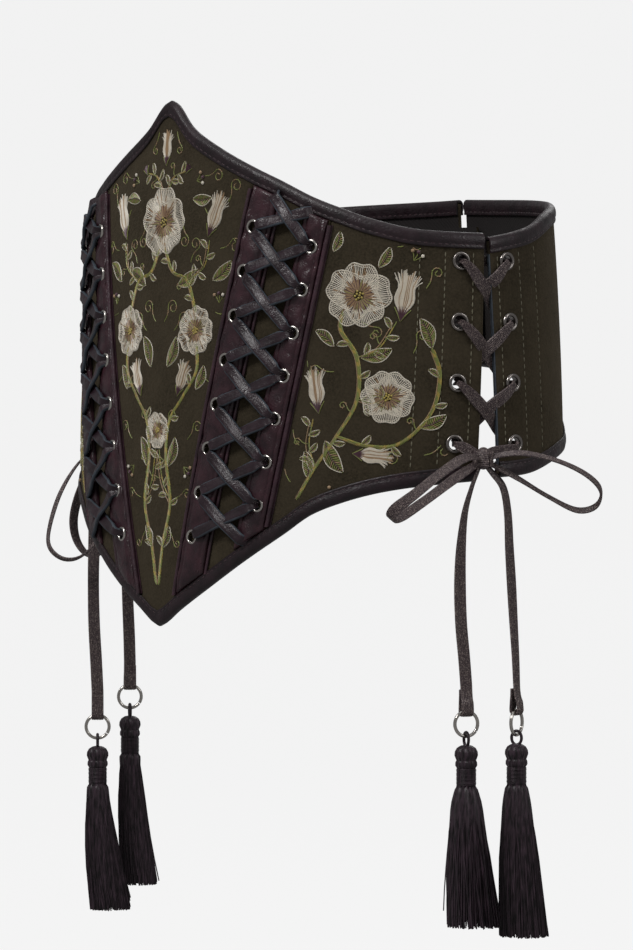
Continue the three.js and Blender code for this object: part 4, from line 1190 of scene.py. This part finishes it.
def loop_band(side, name):
    """One loop of a bow, a free cord that goes back into the knot."""
    points = np.array([from_knot(*(LOOP_REACH * v for v in row)) for row in LOOPS[side][name]])
    middle = (points[4] + points[5]) / 2
    axis = unit(np.cross(unit(middle - points[0]), unit(points[2] - points[7])))
    line = smooth_line(points, 90)
    ahead = heading(line)
    share = np.linspace(0, 1, len(line))
    lean = 0.35 * np.sin(share * math.pi * 2) * (1 if name == "front" else -1)
    side_way = unit(np.cross(ahead, axis))
    wides = squared(unit(axis * np.cos(lean)[:, None] + side_way * np.sin(lean)[:, None]), ahead)
    squeeze = 0.62 + 0.38 * smoothstep(share / 0.14) * smoothstep((1 - share) / 0.14)
    g = Gather()
    woven(g, line, wides, ahead, squeeze)
    obj = g.sided(side, f"bow_loop_{name}", ("waxed",), "woven_lace")


def make_bow(side):
    """The knot, the leads from the lowest eyelets and the two loops."""
    g = Gather()
    for spots, sway in ((FRONT_SIDE_SPOTS, -1), (BACK_SIDE_SPOTS, 1)):
        s, z = spots[-1]
        rows = [place(s, z, -0.5).reshape(3), place(s, z, 2.5).reshape(3),
                place(s - sway * 0.4, z - 0.5, 4.6).reshape(3), place(s - sway * 4, z - 2.2, 6.2).reshape(3),
                from_knot(-1.6, sway * 4.2, 3.0), from_knot(-0.6, sway * 1.0, 1.2)]
        line = smooth_line(rows, 40)
        ahead = heading(line)
        wides = squared(np.broadcast_to(UPWARD, line.shape), ahead)
        share = np.linspace(0, 1, 40)
        width = 0.45 + 0.4 * smoothstep((share - 0.2) / 0.3) * (1 - 0.5 * smoothstep((share - 0.75) / 0.25))
        woven(g, line, wides, ahead, width)
    # A cord wrapped once round the crossing, and the hump of what it binds
    turn = np.linspace(0.25, 2 * math.pi + 0.1, 44)
    line = np.array([from_knot(4.4 * math.cos(t), 3.9 * math.sin(t), 0.5 * math.sin(t / 2)) for t in turn])
    woven(g, line, np.broadcast_to(UPWARD, line.shape), share=1.25 - 0.12 * np.cos(turn))
    ball(g, from_knot(0.2, 0, 0.6), (KNOT_OUTWARD * 3.9, KNOT_BACKWARD * 3.5, UPWARD * 4.9), 0, 14, 24)
    g.sided(side, "bow_knot", ("waxed",), "woven_lace", "bow")
    for name in LOOPS[side]:
        loop_band(side, name)


def tail_line(side, name):
    """The middle line of a tail and the share of the way down at each point."""
    drop, turn = HANGS[side][name]
    foot_height = KNOT_HEIGHT - drop + RING_RADIUS + FOLD_LENGTH
    start = KNOT_HEIGHT - 5.6
    rows = [np.append(from_knot(out, back), down) for out, back, down in TAILS[name]]
    for row in rows:
        row[2] = blend(start, foot_height, row[3])
    way = math.copysign(1, TAILS[name][0][1])
    rows.insert(0, np.append(from_knot(-0.4, way * 0.8, -1.5), 0))
    return smooth_line(rows, 96)


def make_hang(side, name, settings):
    """A tail with its ring and tassel: one free cord of woven lace."""
    drop, degrees = HANGS[side][name]
    turn = math.radians(degrees)
    rows = tail_line(side, name)
    line, down = rows[:, :3], rows[:, 3]
    foot = line[-1] * (1, 1, 0)
    out, back = turned(turn)
    wire_top = KNOT_HEIGHT - drop + RING_RADIUS
    bend = RING_WIRE + 1.1
    fold = [foot + UPWARD * (wire_top + h) + out * bend * w
            for h, w in ((FOLD_LENGTH * 0.75, 0.1), (FOLD_LENGTH * 0.5, 0.35), (3.6, 0.8))]
    fold += [foot + UPWARD * (wire_top - bend * math.sin(t)) + out * bend * math.cos(t)
             for t in np.linspace(0, math.pi, 9)]
    fold += [foot + UPWARD * (wire_top + h) - out * w
             for h, w in ((3.6, 1.65), (6.5, 1.4), (9.4, 1.36))]
    line = resample(np.concatenate([line, fold]), 126)
    height = np.clip((line[0][2] - line[:, 2]) / (line[0][2] - wire_top), 0, 1)
    edge_on = 1.0 if name == "front" else 0.6
    angle = turn * np.clip(height * 1.1, 0, 1) + edge_on * (1 - smoothstep(height / 0.55))
    ahead = heading(line)
    g = Gather()
    woven(g, line, squared(turned(angle)[1], ahead), ahead, 0.7 + 0.3 * smoothstep(height / 0.08))
    for h in (7.4, 8.4):
        a = foot + UPWARD * (wire_top + h) - back * 2.2 - out * 1.9
        b = a + back * 4.4
        stitch_row(g, np.linspace(a, b, 12), np.broadcast_to(-out, (12, 3)), *FOLD_STITCH, 1)
    tail = g.sided(side, f"{name}_tail_woven", ("waxed", "plum_thread"), "woven_lace", f"{name}_tail")

    # An open jump ring with its seam at the lower back
    middle = np.append(foot[:2], KNOT_HEIGHT - drop)
    g = Gather()
    t = np.linspace(-0.6, 2 * math.pi - 0.6 - JUMP_RING_GAP, 72)
    circle = middle + RING_RADIUS * (np.cos(t)[:, None] * back + np.sin(t)[:, None] * UPWARD)
    g.add(*sweep(circle, unit(circle - middle), np.broadcast_to(out, circle.shape),
                 round_section(settings.ring_wire / MM, sides=14)))
    ring = g.sided(side, f"{name}_ring_metal", ("nickel",), "metal", f"{name}_ring")
    tassel = make_tassel(side, name, middle, out, back, settings.tassel_strands)


def make_tassel(side, name, middle, out, back, strands):
    """A yarn tassel: a cord loop through the ring, a two-lobed head, a wrapped collar and a loose skirt."""
    g = Gather()
    seed = random.Random(f"{side}{name}")
    full, widest, lean_by = SKIRTS[side][name]
    loop_height = middle[2] - RING_RADIUS - TASSEL_LOOP_RADIUS + RING_WIRE + 0.3 + TASSEL_LOOP_CORD
    top = loop_height - TASSEL_LOOP_RADIUS + TASSEL_LOOP_CORD
    axis = middle * (1, 1, 0)
    t = circle_of(32)[:, None]
    spokes = TASSEL_LOOP_RADIUS * (np.cos(t) * out * 0.8 + np.sin(t) * UPWARD)
    g.add(*sweep(axis + UPWARD * loop_height + spokes, unit(spokes), np.broadcast_to(back, spokes.shape),
                 round_section(TASSEL_LOOP_CORD), closed=True))

    # Rows of (distance below the top, radius) for the head, the core under the collar and the skirt's core
    rows = [(0, 0.3), (0.4, 2.4), (1.4, 3.9), (3.0, 4.75), (4.6, 4.9), (6.0, 4.4), (6.8, 4.1), (7.6, 4.5), (9.0, 4.6),
            (10.2, 3.9), (11.0, 3.6), (17.6, 3.7), (19.5, 4.9), (26, 0.58 * widest), (50, 0.78 * widest),
            (full - 3.5, 0.88 * widest), (full - 3, 0.4)]
    sides = 48
    turn = circle_of(sides)
    ring_way = np.cos(turn)[:, None] * out + np.sin(turn)[:, None] * back
    fine = np.linspace(0, len(rows) - 1, 56)
    depth, radius = (np.interp(fine, range(len(rows)), column) for column in np.array(rows).T)
    ribs = 1 + 0.045 * np.cos(turn * 16)
    lean = unit(np.array([LEAN_WAY[0] * SIDES[side], LEAN_WAY[1], 0])) * lean_by

    def centre(d):
        share = np.clip((np.asarray(d, float) - 18) / (full - 18), 0, 1)
        return axis + UPWARD * (top - np.asarray(d, float))[..., None] + lean * (share ** 1.6)[..., None]

    grid = centre(depth)[:, None] + ring_way[None] * (radius[:, None] * ribs[None])[..., None]
    g.add(grid.reshape(-1, 3), [face[::-1] for face in ring_faces(len(depth), sides)])
    for k in range(COLLAR_TURNS):
        middle_line = centre(np.full(sides, COLLAR_DEPTH + COLLAR_PITCH * k))
        circle = middle_line + (COLLAR_RADIUS + 0.06 * math.sin(k * 2.1)) * ring_way
        g.add(*sweep(circle, ring_way, np.broadcast_to(UPWARD, circle.shape), round_section(0.4, 0.36, 5),
                     closed=True))
    section = round_section(STRAND_RADIUS, sides=3)
    for k in range(strands):
        at = k * GOLDEN_ANGLE
        spread = math.sqrt((k + 0.5) / strands)
        stray = seed.random() < STRAY_SHARE
        length = full - seed.uniform(0.0, 1.8) - (7 * seed.random() if stray else 0)
        d = np.linspace(SKIRT_DEPTH, length, 7)
        share = (d - SKIRT_DEPTH) / (full - SKIRT_DEPTH)
        swell = 3.6 + (widest - 3.6) * (0.5 * share + 0.5 * (1 - (1 - share) ** 3.2))
        r = swell * blend(1.0, 0.62 + 0.4 * spread, smoothstep(share * 1.6)) + 0.2 * np.sin(share * 7 + k)
        r += 1.6 * share ** 2 if stray else 0
        twist = at + 0.1 * np.sin(share * 4 + k * 1.7) + 0.06 * share
        line = centre(d) + r[:, None] * (np.cos(twist)[:, None] * out + np.sin(twist)[:, None] * back)
        ahead = heading(line)
        wides = unit(np.cross(ahead, np.broadcast_to(back + 0.01, line.shape)))
        g.add(*sweep(line, wides, unit(np.cross(wides, ahead)), section))
    return g.sided(side, f"{name}_tassel_yarn", ("yarn",), "yarn", f"{name}_tassel")


# Embroidery: generic blossoms, leaves, buds and curling vines, drawn in pattern coordinates (s, z)

SILKS = ("cream", "tan", "green", "gold", "plum")
CREAM, TAN, GREEN, GOLD, PLUM = range(len(SILKS))
THREAD = 0.27
SILK_SECTION = np.array([(1, -0.35), (0, 0.8), (-1, -0.35)])


def silk(gather, points, slot, radius, lift=0.0):
    """A thread lying on the suede along pattern points."""
    points = np.asarray(points, float)
    if not gather.inside(points):
        return
    n = len(points)
    arch = np.sin(np.linspace(0, math.pi, n)) * radius * 0.9
    line = place(points[:, 0], points[:, 1], SHELL + 0.05 + lift + arch)
    _, wides, outs = frames_along(line, directions(points[:, 0])[0])
    taper = np.sin(np.linspace(0.35, math.pi - 0.35, n)) ** 0.35
    profile = (SILK_SECTION * radius)[None] * taper[:, None, None]
    gather.add(*sweep(line, wides, outs, profile), slot)


def stroke(gather, a, b, slot, radius, spot=None, lift=0.0):
    """One straight thread from a to b; spot places it as (centre, angle in degrees)."""
    points = [a, (a + b) / 2, b]
    silk(gather, points if spot is None else around(*spot, points), slot, radius, lift)


def evenly(points, spacing, least, each=1, more=0):
    """A pattern line with even points, and its directions ahead and across."""
    points = np.asarray(points, float)
    line = resample(points, max(least, int(line_length(points) / spacing)) * each + more)
    ahead = heading(line)
    return line, ahead, np.stack([-ahead[:, 1], ahead[:, 0]], -1)


def stem(gather, points, slot, radius, pitch, second=None):
    """Stem stitch: short slanted threads that overlap along a curve."""
    line, _, across = evenly(points, pitch, 4, 2, 1)
    for k in range(0, len(line) - 3, 2):
        a = line[k] - across[k] * radius * 0.6
        b = line[k + 3] + across[k + 3] * radius * 0.6
        stroke(gather, a, b, slot if second is None or (k // 2) % 5 < 3 else second, radius)


def around(centre, angle, points):
    """Motif points turned by an angle in degrees, towards the side, and moved to a place."""
    a = -math.radians(angle)
    turn = np.array([[math.cos(a), math.sin(a)], [-math.sin(a), math.cos(a)]])
    return np.asarray(points, float) @ turn + np.asarray(centre, float)


def petal_outline(length, width, count):
    """Half a turn of points round a petal, from its foot over its notched tip."""
    t = np.linspace(-1, 1, count)
    x = width / 2 * np.sin(t * math.pi / 2) * (1 + 0.15 * np.cos(t * math.pi / 2))
    y = length * (np.cos(t * math.pi / 2) ** 0.62) * (1 - 0.12 * bell(t, 0, 0.22))
    return np.stack([x, y], -1)


def blossom(gather, seed, centre, size, angle):
    """A five-petalled blossom: petals in long and short stitch, rimmed in cream, with knots inside."""
    count = max(13, int(size * 1.75))
    for k in range(5):
        way = angle + 72 * k
        length, width = size * seed.uniform(0.94, 1.06), size * 1.02
        rim = petal_outline(length, width, count + 2)
        for i, tip in enumerate(rim[1:-1]):
            root = np.array([tip[0] * 0.16, size * 0.14])
            split = seed.uniform(0.36, 0.6)
            middle = blend(root, tip, split)
            shade = PLUM if i % 4 == 0 else (GREEN if i % 4 == 2 and split > 0.5 else TAN)
            stroke(gather, root, middle, shade, 0.2, (centre, way))
            start = blend(root, tip, split - 0.1)
            stroke(gather, start, tip, TAN if seed.random() < 0.16 else CREAM, 0.25, (centre, way))
            if i % 2:
                start = blend(root, tip, 0.72)
                silk(gather, around(centre, way, [start, (start + tip) / 2, tip * 0.98]), CREAM, 0.22, 0.22)
        stem(gather, around(centre, way, rim), CREAM, 0.3, 0.95)
        stem(gather, around(centre, way, np.stack([rim[:, 0] * 0.9, rim[:, 1] * 0.93], -1)), CREAM, 0.2, 1.1)
    for k in range(9):
        a = k * 2.4
        reach = size * 0.11 * math.sqrt((k + 0.5) / 5)
        knot(gather, around(centre, 0, [[reach * math.cos(a), reach * math.sin(a)]])[0], 0.55, GOLD)


def knot(gather, spot, radius, slot):
    """A French knot."""
    if not gather.inside(np.array([spot])):
        return
    out, back = (v.reshape(3) for v in directions(np.array([spot[0]])))
    centre = place(spot[0], spot[1], SHELL + radius * 0.5).reshape(3)
    ball(gather, centre, (back * radius, UPWARD * radius, out * radius * 0.7), slot, 4, 7)


def bud(gather, seed, centre, size, angle):
    """A long closed bud: lengthwise threads with flared tips above a plum cup."""
    for t in np.linspace(-1, 1, max(13, int(size * 1.1))):
        belly = t * size * 0.2
        flare = t * size * (0.27 + 0.08 * abs(t))
        top = size * (1.0 - 0.13 * t * t) * seed.uniform(0.9, 1.05)
        points = [(t * size * 0.05, size * 0.1), (belly, size * 0.38), (belly * 0.82, size * 0.66), (flare * 0.85, top)]
        colour = CREAM if abs(t) > 0.75 or seed.random() < 0.68 else TAN
        silk(gather, around(centre, angle, smooth_line(points, 9)), colour, THREAD)
    for t in np.linspace(-1, 1, 9):
        tip = (t * size * 0.17, size * (0.27 - 0.06 * abs(t)))
        silk(gather, around(centre, angle, [(0, -size * 0.06), (t * size * 0.08, size * 0.08), tip]),
             PLUM if abs(t) < 0.8 else GREEN, 0.26, 0.15)


def leaf(gather, base, length, width, angle):
    """A lance-shaped leaf in slanting satin stitch with a pale edge and a dark vein."""
    rows = max(9, int(length / 0.85))
    for i in range(rows):
        t = (i + 0.5) / rows
        half = width / 2 * math.sin(math.pi * t ** 0.8) ** 0.9
        y = t * length
        bend = 0.08 * length * math.sin(math.pi * t)
        for way in (-1, 1):
            tip = np.array([bend + way * half, y + half * 0.35])
            root = np.array([bend + way * 0.12, y - half * 0.45])
            stroke(gather, root, tip, GREEN if (i + (way > 0)) % 4 else TAN, 0.24, (base, angle))
    t = np.linspace(0, 1, 16)
    half = width / 2 * np.sin(math.pi * t ** 0.8) ** 0.9
    bend = 0.08 * length * np.sin(math.pi * t)
    for way in (-1, 1):
        stem(gather, around(base, angle, np.stack([bend + way * half, t * length + half * 0.35], -1)), CREAM, 0.2, 1.1)
    stem(gather, around(base, angle, np.stack([bend, t * length * 0.94], -1)), PLUM, 0.2, 1.2)


def tendril(gather, start, angle, reach, curl):
    """A thin tendril that ends in a spiral; curl is its radius, negative to turn the other way."""
    t = np.linspace(0, 1, 14)
    lead = np.stack([curl * 0.35 * np.sin(math.pi * t), t * reach], -1)
    phase = np.linspace(0, 1.3 * 2 * math.pi, 44)
    shrink = np.abs(curl) * (1 - 0.72 * phase / phase[-1])
    spiral = np.stack([curl - np.sign(curl) * shrink * np.cos(phase), reach + shrink * np.sin(phase)], -1)
    spiral[:, 0] += np.sign(curl) * (shrink[0] - abs(curl))
    points = around(start, angle, np.concatenate([lead[:-1], spiral]))
    stem(gather, points, GREEN, 0.2, 1.15, TAN)


def rope(gather, points, width, slot, second):
    """A thick stem in slanting satin stitch."""
    line, ahead, across = evenly(points, 0.62, 6)
    for k in range(len(line)):
        half = width / 2 * min(1, 0.35 + k / 12, 0.35 + (len(line) - k) / 12)
        a = line[k] - across[k] * half - ahead[k] * 0.6
        b = line[k] + across[k] * half + ahead[k] * 0.6
        stroke(gather, a, b, second if k % 9 > 5 else slot, 0.26)


def berries(gather, spot, angle, count):
    """A small spray of berries."""
    for k in range(count):
        way = angle + (k - (count - 1) / 2) * 34
        tip = around(spot, way, [(0, 0), (0.3, 2.4), (0, 4.4)])
        stem(gather, tip, GREEN, 0.16, 1.0)
        knot(gather, tip[-1], 0.85, (TAN, PLUM, CREAM)[k % 3])


# Half of the centre panel's design, which is mirrored on the other half: kind, s, z, size and angle
CENTRE_DESIGN = (
    ("blossom", 24.0, 4.0, 11.5, 20), ("bud", 31.0, 46.0, 20.0, 22), ("bud", 13.5, -24.0, 16.0, 20),
    ("bud", 15.0, 74.0, 14.0, 30), ("leaf", 34.0, 26.0, 14.0, 52), ("leaf", 12.0, 24.0, 15.0, 62),
    ("leaf", 7.5, -56.0, 14.0, 20), ("leaf", 6.0, -12.0, 15.0, 24), ("leaf", 25.0, -22.0, 12.0, 24),
    ("leaf", 20.0, 62.0, 12.0, 88), ("leaf", 4.0, -92.0, 11.0, 24), ("tendril", 38.0, 40.0, 3.6, 60),
    ("tendril", 42.0, 60.0, 3.2, 10), ("tendril", 27.0, 72.0, 3.0, 70), ("tendril", 20.0, 34.0, -3.2, 40),
    ("tendril", 35.0, -8.0, -3.0, 150), ("tendril", 10.0, 4.0, 3.0, 30), ("tendril", 20.0, -44.0, 2.8, 30),
    ("tendril", 12.0, -70.0, 2.4, 60), ("tendril", 5.0, -40.0, 2.6, 20), ("tendril", 36.0, 12.0, 2.8, 90),
    ("tendril", 7.0, 92.0, 2.2, 150), ("tendril", 8.0, -84.0, -2.0, 150), ("tendril", 46.0, 44.0, -2.8, 170),
    ("berries", 38.0, 16.0, 3, 0), ("berries", 22.0, 70.0, 3, 70), ("tendril", 3.0, 8.0, 3.4, 20),
    ("tendril", 14.0, 52.0, 3.0, 150), ("tendril", 28.0, 58.0, 2.6, 130), ("tendril", 44.0, 34.0, -2.6, 160),
    ("tendril", 30.0, -16.0, 2.6, 120), ("tendril", 16.0, -10.0, -2.6, 170), ("berries", 18.0, -56.0, 3, 130),
)
# Vines of the centre half, as smooth lines through (s, z): the first ones are thick
CENTRE_VINES = (
    ((0.8, -108), (4, -90), (9, -72), (6, -52), (8, -36), (16, -26), (25, -14), (25, -2)),
    ((24, 12), (18, 26), (8, 30), (2, 40)),
    ((18, 26), (28, 32), (31, 44)),
    ((9, -72), (3, -62), (0.5, -48)),
    ((2, 66), (6, 72), (14, 74)),
)
# The side panel's branch, by the same names
SIDE_DESIGN = (
    ("blossom", 107.0, 19.0, 15.0, 8), ("blossom", 119.0, -25.0, 12.5, 40), ("bud", 125.0, 9.0, 21.0, 12),
    ("bud", 89.0, -31.0, 19.0, -8), ("bud", 105.0, -49.5, 16.0, 96), ("leaf", 96.0, 38.0, 9.5, 20),
    ("leaf", 116.0, 31.0, 10.5, 30), ("leaf", 96.0, -3.0, 11.0, -50), ("leaf", 92.0, -44.0, 16.0, 150),
    ("leaf", 138.0, -4.0, 14.0, -20), ("leaf", 108.0, -8.0, 14.0, 74), ("leaf", 132.0, -38.0, 13.0, 66),
    ("leaf", 84.0, -60.0, 12.0, -6), ("tendril", 92.0, 40.0, -2.8, -30), ("tendril", 124.0, 40.0, 2.6, 70),
    ("tendril", 110.0, 46.0, 2.4, -70), ("tendril", 87.0, 12.0, 2.6, -40), ("tendril", 80.0, -46.0, -2.4, -20),
    ("tendril", 114.0, -46.0, 3.0, 110), ("tendril", 134.0, -50.0, 2.8, 60), ("tendril", 108.0, 8.0, 2.6, 110),
    ("tendril", 136.0, 22.0, 2.6, 20), ("tendril", 96.0, -14.0, -3.0, -70), ("tendril", 130.0, -6.0, 2.8, 10),
    ("tendril", 76.0, -62.0, -2.2, -20), ("tendril", 98.0, -62.0, 2.4, 100), ("berries", 131.0, 34.0, 3, 30),
    ("berries", 84.0, -12.0, 3, -40), ("berries", 92.0, -68.0, 3, 60)
)
SIDE_VINES = (
    ((79, -69), (87, -56), (97, -42), (106, -26), (106, -8), (99, 4), (100, 12)),
    ((97, -42), (110, -46), (124, -45), (137, -32), (141, -16), (138, -4)),
    ((106, -26), (112, -28), (118, -25)),
    ((106, -8), (115, -4), (123, 8)),
    ((87, -56), (84, -46), (86, -34)),
)
THICK = 2


def embroider(gather, design, vines, seed, mirror=False):
    """Draws a design's vines and motifs in thread."""
    way = -1 if mirror else 1
    for number, rows in enumerate(vines):
        points = smooth_line([(s * way, z) for s, z in rows], 160)
        if number < THICK:
            rope(gather, points, 1.5, GREEN, GOLD)
        stem(gather, points + np.array([0.75 * way, 0.2]), GREEN, 0.26, 1.35, GOLD)
        stem(gather, points - np.array([0.75 * way, 0.2]), TAN, 0.2, 1.6)
        for k, at in enumerate(range(24, 150, 27)):
            ahead = points[at + 1] - points[at - 1]
            lean = math.degrees(math.atan2(ahead[0], ahead[1])) + (58 if k % 2 else -58)
            if k % 3 < 2:
                leaf(gather, points[at], 6.0, 2.6, lean)
            else:
                tendril(gather, points[at], lean, 4.5, 1.8 * (1 if k % 2 else -1))
    for kind, s, z, size, angle in design:
        spot, angle = (s * way, z), angle * way
        if kind == "blossom":
            blossom(gather, seed, spot, size, angle)
        elif kind == "bud":
            bud(gather, seed, spot, size, angle)
        elif kind == "leaf":
            leaf(gather, spot, size, size * 0.42, angle)
        elif kind == "tendril":
            tendril(gather, spot, angle, 8.0, size * way)
        else:
            berries(gather, spot, angle, size)


def clear_of_edges(points):
    """Whether pattern points lie between the bindings."""
    s, z = points.T
    return np.all((z < front_top(s) - EMBROIDERY_MARGIN) & (z > front_bottom(s) + EMBROIDERY_MARGIN))


def on_centre(points):
    return clear_of_edges(points) and np.all(np.abs(points[:, 0]) < centre_seam(points[:, 1]) - 2)


def on_side(points):
    s, z = points.T
    eyelets = all(np.all(np.hypot(s - spot[0], z - spot[1]) > 5) for spot in FRONT_SIDE_SPOTS)
    return clear_of_edges(points) and np.all(s > side_seam(z) + 2.2) and eyelets


def make_embroidery():
    """The thread work of the centre and side panels."""
    g = Gather(on_centre)
    seed = random.Random(11)
    for mirror in (False, True):
        embroider(g, CENTRE_DESIGN, CENTRE_VINES, seed, mirror)
    blossom(g, seed, (0, 52), 16.0, 0)
    blossom(g, seed, (0, -40), 8.5, 36)
    bud(g, seed, (0, 78), 15.0, 0)
    g.piece("centre_embroidery", SILKS)
    for side in SIDES:
        g = Gather(on_side)
        embroider(g, SIDE_DESIGN, SIDE_VINES, random.Random(12))
        g.sided(side, "side_embroidery", SILKS, "suede")


# Camera and stage

def make_stage():
    """The camera of the picture, a pale bowl-shaped backdrop and soft studio lights."""
    camera = linked("picture_camera", bpy.data.cameras.new("picture_camera"))
    camera.data.sensor_width = 36
    camera.data.sensor_fit = "HORIZONTAL"
    camera.data.lens = CAMERA_LENS
    camera.data.clip_start, camera.data.clip_end = 0.1, 60
    camera.matrix_world = Matrix.Translation(CAMERA_PLACE) @ Matrix(CAMERA_AXES).transposed().to_4x4()
    bpy.context.scene.camera = camera

    # A distant evenly lit wall: bright to the camera, and much dimmer as a light on the belt
    backdrop_material, tree, shader, _ = surface("backdrop", "3c3c3c", 0.9)
    shader.inputs["Emission Color"].default_value = linear("ffffff")
    seen = add(tree, "ShaderNodeLightPath").outputs["Is Camera Ray"]
    tree.links.new(mapped(tree, seen, 0, 1, *BACKDROP_GLOW), shader.inputs["Emission Strength"])
    shader.inputs["Specular IOR Level"].default_value = 0.1
    bend = np.linspace(0.1, math.pi / 2, 12)
    floor = np.append(0, np.linspace(0.4, FLOOR_RADIUS, 12))
    radius = np.concatenate([floor, FLOOR_RADIUS + BOWL_BEND * np.sin(bend), [FLOOR_RADIUS + BOWL_BEND]])
    height = np.concatenate([0 * floor, BOWL_BEND * (1 - np.cos(bend)), [BOWL_TOP]]) - FLOOR_DROP
    angle = circle_of(96)
    grid = np.stack([radius[:, None] * np.cos(angle), radius[:, None] * np.sin(angle),
                     height[:, None] + 0 * angle], -1).reshape(-1, 3)
    mesh = bpy.data.meshes.new("backdrop")
    mesh.from_pydata(grid.tolist(), [], ring_faces(len(radius), len(angle), caps=False))
    mesh.polygons.foreach_set("use_smooth", [True] * len(mesh.polygons))
    mesh.materials.append(backdrop_material)
    linked("backdrop", mesh)

    lights = (
        # name, azimuth and elevation in degrees, distance and size in metres, power in watts
        ("key_light", 8, 42, 2.2, 0.7, 20),
        ("fill_light", 108, 24, 2.4, 0.9, 8.5),
        ("top_light", 52, 84, 2.0, 1.3, 3.6),
        ("rim_light", 215, 30, 2.4, 1.2, 6),
    )
    for name, azimuth, elevation, distance, size, power in lights:
        light = bpy.data.lights.new(name, "AREA")
        light.size, light.energy, light.shape = size, power, "DISK"
        a, e = math.radians(azimuth), math.radians(elevation)
        where = Vector((math.sin(a) * math.cos(e), -math.cos(a) * math.cos(e), math.sin(e))) * distance
        obj = linked(name, light)
        obj.location = where
        obj.rotation_euler = (AIMED_AT - where).to_track_quat("-Z", "Y").to_euler()
    world = bpy.context.scene.world or bpy.data.worlds.new("studio")
    bpy.context.scene.world = world
    world.use_nodes = True
    world.node_tree.nodes["Background"].inputs["Color"].default_value = (1, 1, 1, 1)
    world.node_tree.nodes["Background"].inputs["Strength"].default_value = WORLD_STRENGTH
    bpy.context.scene.view_settings.view_transform = "Standard"


# The add-on

class BeltSettings(bpy.types.PropertyGroup):
    """Sizes of the belt's detail."""

    stitch_length: bpy.props.FloatProperty(
        name="Stitch length", description="Length of one stitch of the suede's seams", default=2.1 * MM, min=1 * MM,
        max=4 * MM, subtype="DISTANCE", unit="LENGTH")
    strip_puff: bpy.props.FloatProperty(
        name="Strip puff", description="How far the leather strips swell between their seams, in mm", default=0.8,
        min=0, max=1.5)
    tassel_strands: bpy.props.IntProperty(
        name="Tassel strands", description="Strands in each tassel's skirt", default=500, min=40, max=900)
    ring_wire: bpy.props.FloatProperty(
        name="Ring wire", description="Radius of the wire of the tassels' rings", default=RING_WIRE * MM,
        min=0.4 * MM, max=1.2 * MM, subtype="DISTANCE", unit="LENGTH")


class BELT_OT_stage(bpy.types.Operator):
    """Makes the camera, the backdrop and the lights"""

    bl_idname = "belt.stage"
    bl_label = "Stage"

    def execute(self, context):
        make_stage()
        return {"FINISHED"}


class BELT_OT_panels(bpy.types.Operator):
    """Builds the suede panels, their lining and their seams"""

    bl_idname = "belt.panels"
    bl_label = "Suede panels"

    def execute(self, context):
        make_centre()
        for side in SIDES:
            make_panels(side, context.scene.belt)
        return {"FINISHED"}


class BELT_OT_embroidery(bpy.types.Operator):
    """Sews the blossoms, leaves and vines in thread"""

    bl_idname = "belt.embroidery"
    bl_label = "Embroidery"

    def execute(self, context):
        make_embroidery()
        return {"FINISHED"}


class BELT_OT_leather(bpy.types.Operator):
    """Builds the lacing strips, pipings and bindings"""

    bl_idname = "belt.leather"
    bl_label = "Strips, pipings and bindings"

    def execute(self, context):
        for side in SIDES:
            make_strips(side, context.scene.belt)
            make_pipings(side)
            make_bindings(side)
        return {"FINISHED"}


class BELT_OT_lacing(bpy.types.Operator):
    """Threads the front and side laces and sets the side eyelets"""

    bl_idname = "belt.lacing"
    bl_label = "Lacing"

    def execute(self, context):
        for side in SIDES:
            make_front_lace(side)
            make_side_lace(side)
            make_side_eyelets(side)
        return {"FINISHED"}


class BELT_OT_bows(bpy.types.Operator):
    """Ties the bows and hangs the tails with their rings and tassels"""

    bl_idname = "belt.bows"
    bl_label = "Bows and tails"

    def execute(self, context):
        for side in SIDES:
            make_bow(side)
            for name in HANGS[side]:
                make_hang(side, name, context.scene.belt)
        return {"FINISHED"}


OPERATORS = (BELT_OT_stage, BELT_OT_panels, BELT_OT_embroidery, BELT_OT_leather, BELT_OT_lacing, BELT_OT_bows)


class BELT_PT_panel(bpy.types.Panel):
    """Sizes and steps of the belt"""

    bl_idname = "BELT_PT_panel"
    bl_label = "Corset belt"
    bl_space_type = "VIEW_3D"
    bl_region_type = "UI"
    bl_category = "Corset belt"

    def draw(self, context):
        for name in BeltSettings.__annotations__:
            self.layout.prop(context.scene.belt, name)
        for step in OPERATORS:
            self.layout.operator(step.bl_idname)


CLASSES = (BeltSettings, *OPERATORS, BELT_PT_panel)


def register():
    for kind in CLASSES:
        bpy.utils.register_class(kind)
    bpy.types.Scene.belt = bpy.props.PointerProperty(type=BeltSettings)


def unregister():
    del bpy.types.Scene.belt
    for kind in reversed(CLASSES):
        bpy.utils.unregister_class(kind)


def main():
    """Builds every piece."""
    register()
    bpy.ops.belt.stage()
    bpy.ops.belt.panels()
    bpy.ops.belt.embroidery()
    bpy.ops.belt.leather()
    bpy.ops.belt.lacing()
    bpy.ops.belt.bows()


if __name__ == "__main__":
    main()
